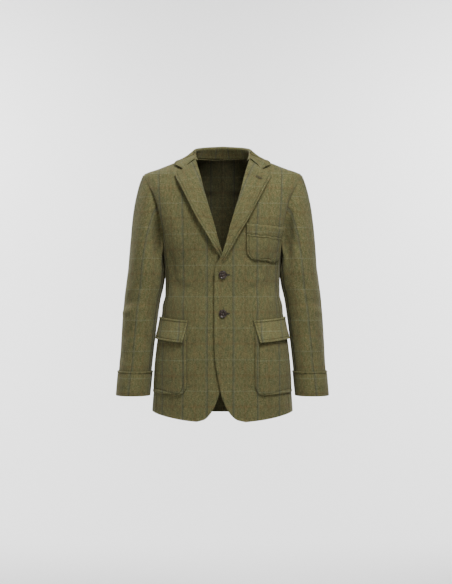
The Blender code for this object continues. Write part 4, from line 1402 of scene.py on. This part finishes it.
def buttonhole(name, start, end, out, finish):
    """A worked buttonhole: an oval loop of thread laid round a slit, with a rounder eye at its start."""
    turn = np.linspace(0.0, 2 * math.pi, BUTTONHOLE_POINTS + 1)[:-1]
    middle = (np.array(start) + np.array(end)) / 2
    reach = (np.array(end) - np.array(start)) / 2
    wide = np.array([-reach[1], reach[0]]) / np.hypot(*reach) * BUTTONHOLE_HALF
    eye = 1 + EYE_WIDER * bell(np.cos(turn) - EYE_PLACE, EYE_LENGTH)
    flat = middle + np.cos(turn)[:, None] * reach + (np.sin(turn) * eye)[:, None] * wide
    loop, facing = seat_on_front(flat[:, 0], flat[:, 1], out)
    sewn_thread(name, loop, facing, BUTTONHOLE_THREAD, finish, closed=True)
    inner = np.stack([middle - reach, middle, middle + reach]) * SLIT_SHARE + middle * (1 - SLIT_SHARE)
    slit, facing = seat_on_front(inner[:, 0], inner[:, 1], out - BUTTONHOLE_THREAD)
    sewn_thread(name + "_slit", slit, facing, BUTTONHOLE_HALF * SLIT_WIDTH, finish)


def sweep():
    """A pale floor that turns up behind along a quarter round, carried straight across."""
    turn = np.linspace(0.0, math.pi / 2, SWEEP_COUNT)
    y = SWEEP_BEHIND + SWEEP_RADIUS * np.sin(turn)
    z = SWEEP_FLOOR + SWEEP_RADIUS * (1 - np.cos(turn))
    y = np.concatenate([[SWEEP_FRONT], y, y[-1:]])
    z = np.concatenate([[SWEEP_FLOOR], z, [SWEEP_TOP]])
    x = np.array([-SWEEP_HALF_WIDTH, SWEEP_HALF_WIDTH])
    points = np.stack(np.broadcast_arrays(x[None, :], y[:, None], z[:, None]), axis=-1)
    paper, tree, shader = finish_tree("paper")
    feed(tree, shader, {"Base Color": PAPER, "Roughness": PAPER_ROUGH})
    number = np.arange(len(y) * len(x)).reshape(len(y), len(x))
    put_mesh("sweep", points.reshape(-1, 3), quads(number), paper)


def lamp(name, place, size, power, aim):
    """A square soft light that looks at a point."""
    light = bpy.data.lights.new(name, "AREA")
    light.size = size
    light.energy = power
    made = bpy.data.objects.new(name, light)
    made.location = place
    way = np.array(aim) - np.array(place)
    flat = math.hypot(way[0], way[1])
    made.rotation_euler = (math.pi / 2 + math.atan2(way[2], flat), 0.0, math.atan2(-way[0], way[1]))
    bpy.context.scene.collection.objects.link(made)


def room_light():
    """Even white light from all round."""
    world = bpy.data.worlds.new("studio")
    world.use_nodes = True
    feed(world.node_tree, world.node_tree.nodes["Background"],
         {"Color": (1.0, 1.0, 1.0, 1.0), "Strength": ROOM_LIGHT})
    bpy.context.scene.world = world


def camera():
    """The camera, level with the jacket's middle and looking along +Y, at the photograph's scale."""
    view = bpy.data.cameras.new("camera")
    view.sensor_fit = "VERTICAL"
    view.sensor_height = SENSOR_HEIGHT
    view.lens = SENSOR_HEIGHT * CAMERA_FAR / (PHOTO_HEIGHT_PIXELS * METRES_PER_PIXEL)
    seen = bpy.data.objects.new("camera", view)
    right = CAMERA_RIGHT_PIXELS * METRES_PER_PIXEL
    seen.location = (right, -CAMERA_FAR, JACKET_MIDDLE[2] - CAMERA_DOWN_PIXELS * METRES_PER_PIXEL)
    seen.rotation_euler = (math.radians(90), 0.0, 0.0)
    bpy.context.scene.collection.objects.link(seen)
    bpy.context.scene.camera = seen


tweed = tweed_cloth("tweed_cloth", 1.0)
trim = tweed_cloth("tweed_trim_cloth", 1.0)
# the flaps get a copy of the cloth with painted light
flap_cloth = tweed_cloth("flap_cloth", FLAP_PAINTED_LIGHT)
button_horn = horn()
sewing = thread("buttonhole_thread", THREAD_STOPS)
olive_sewing = thread("olive_thread", OLIVE_THREAD_STOPS)
for wearer_side in ("left", "right"):
    front(wearer_side, tweed)
    side_panel(wearer_side, tweed)
    back(wearer_side, tweed)
    sleeve(wearer_side, tweed)
    cuff(wearer_side, trim)
    lapel(wearer_side, tweed)
    lower_pocket(wearer_side, trim)
    flap(wearer_side, flap_cloth)
collar(tweed)
chest_pocket(trim)
for button_name, button_z in BUTTONS.items():
    button(button_name, button_z, button_horn)
    hole_name = button_name.replace("button", "buttonhole")
    buttonhole(hole_name, (BUTTONHOLE_START, button_z), (BUTTONHOLE_REACH, button_z), BUTTONHOLE_OUT, sewing)
buttonhole("buttonhole_lapel", LAPEL_HOLE["start"], LAPEL_HOLE["end"], LAPEL_HOLE["out"], olive_sewing)
sweep()
room_light()
for lamp_row in LAMPS:
    lamp(*lamp_row)
camera()
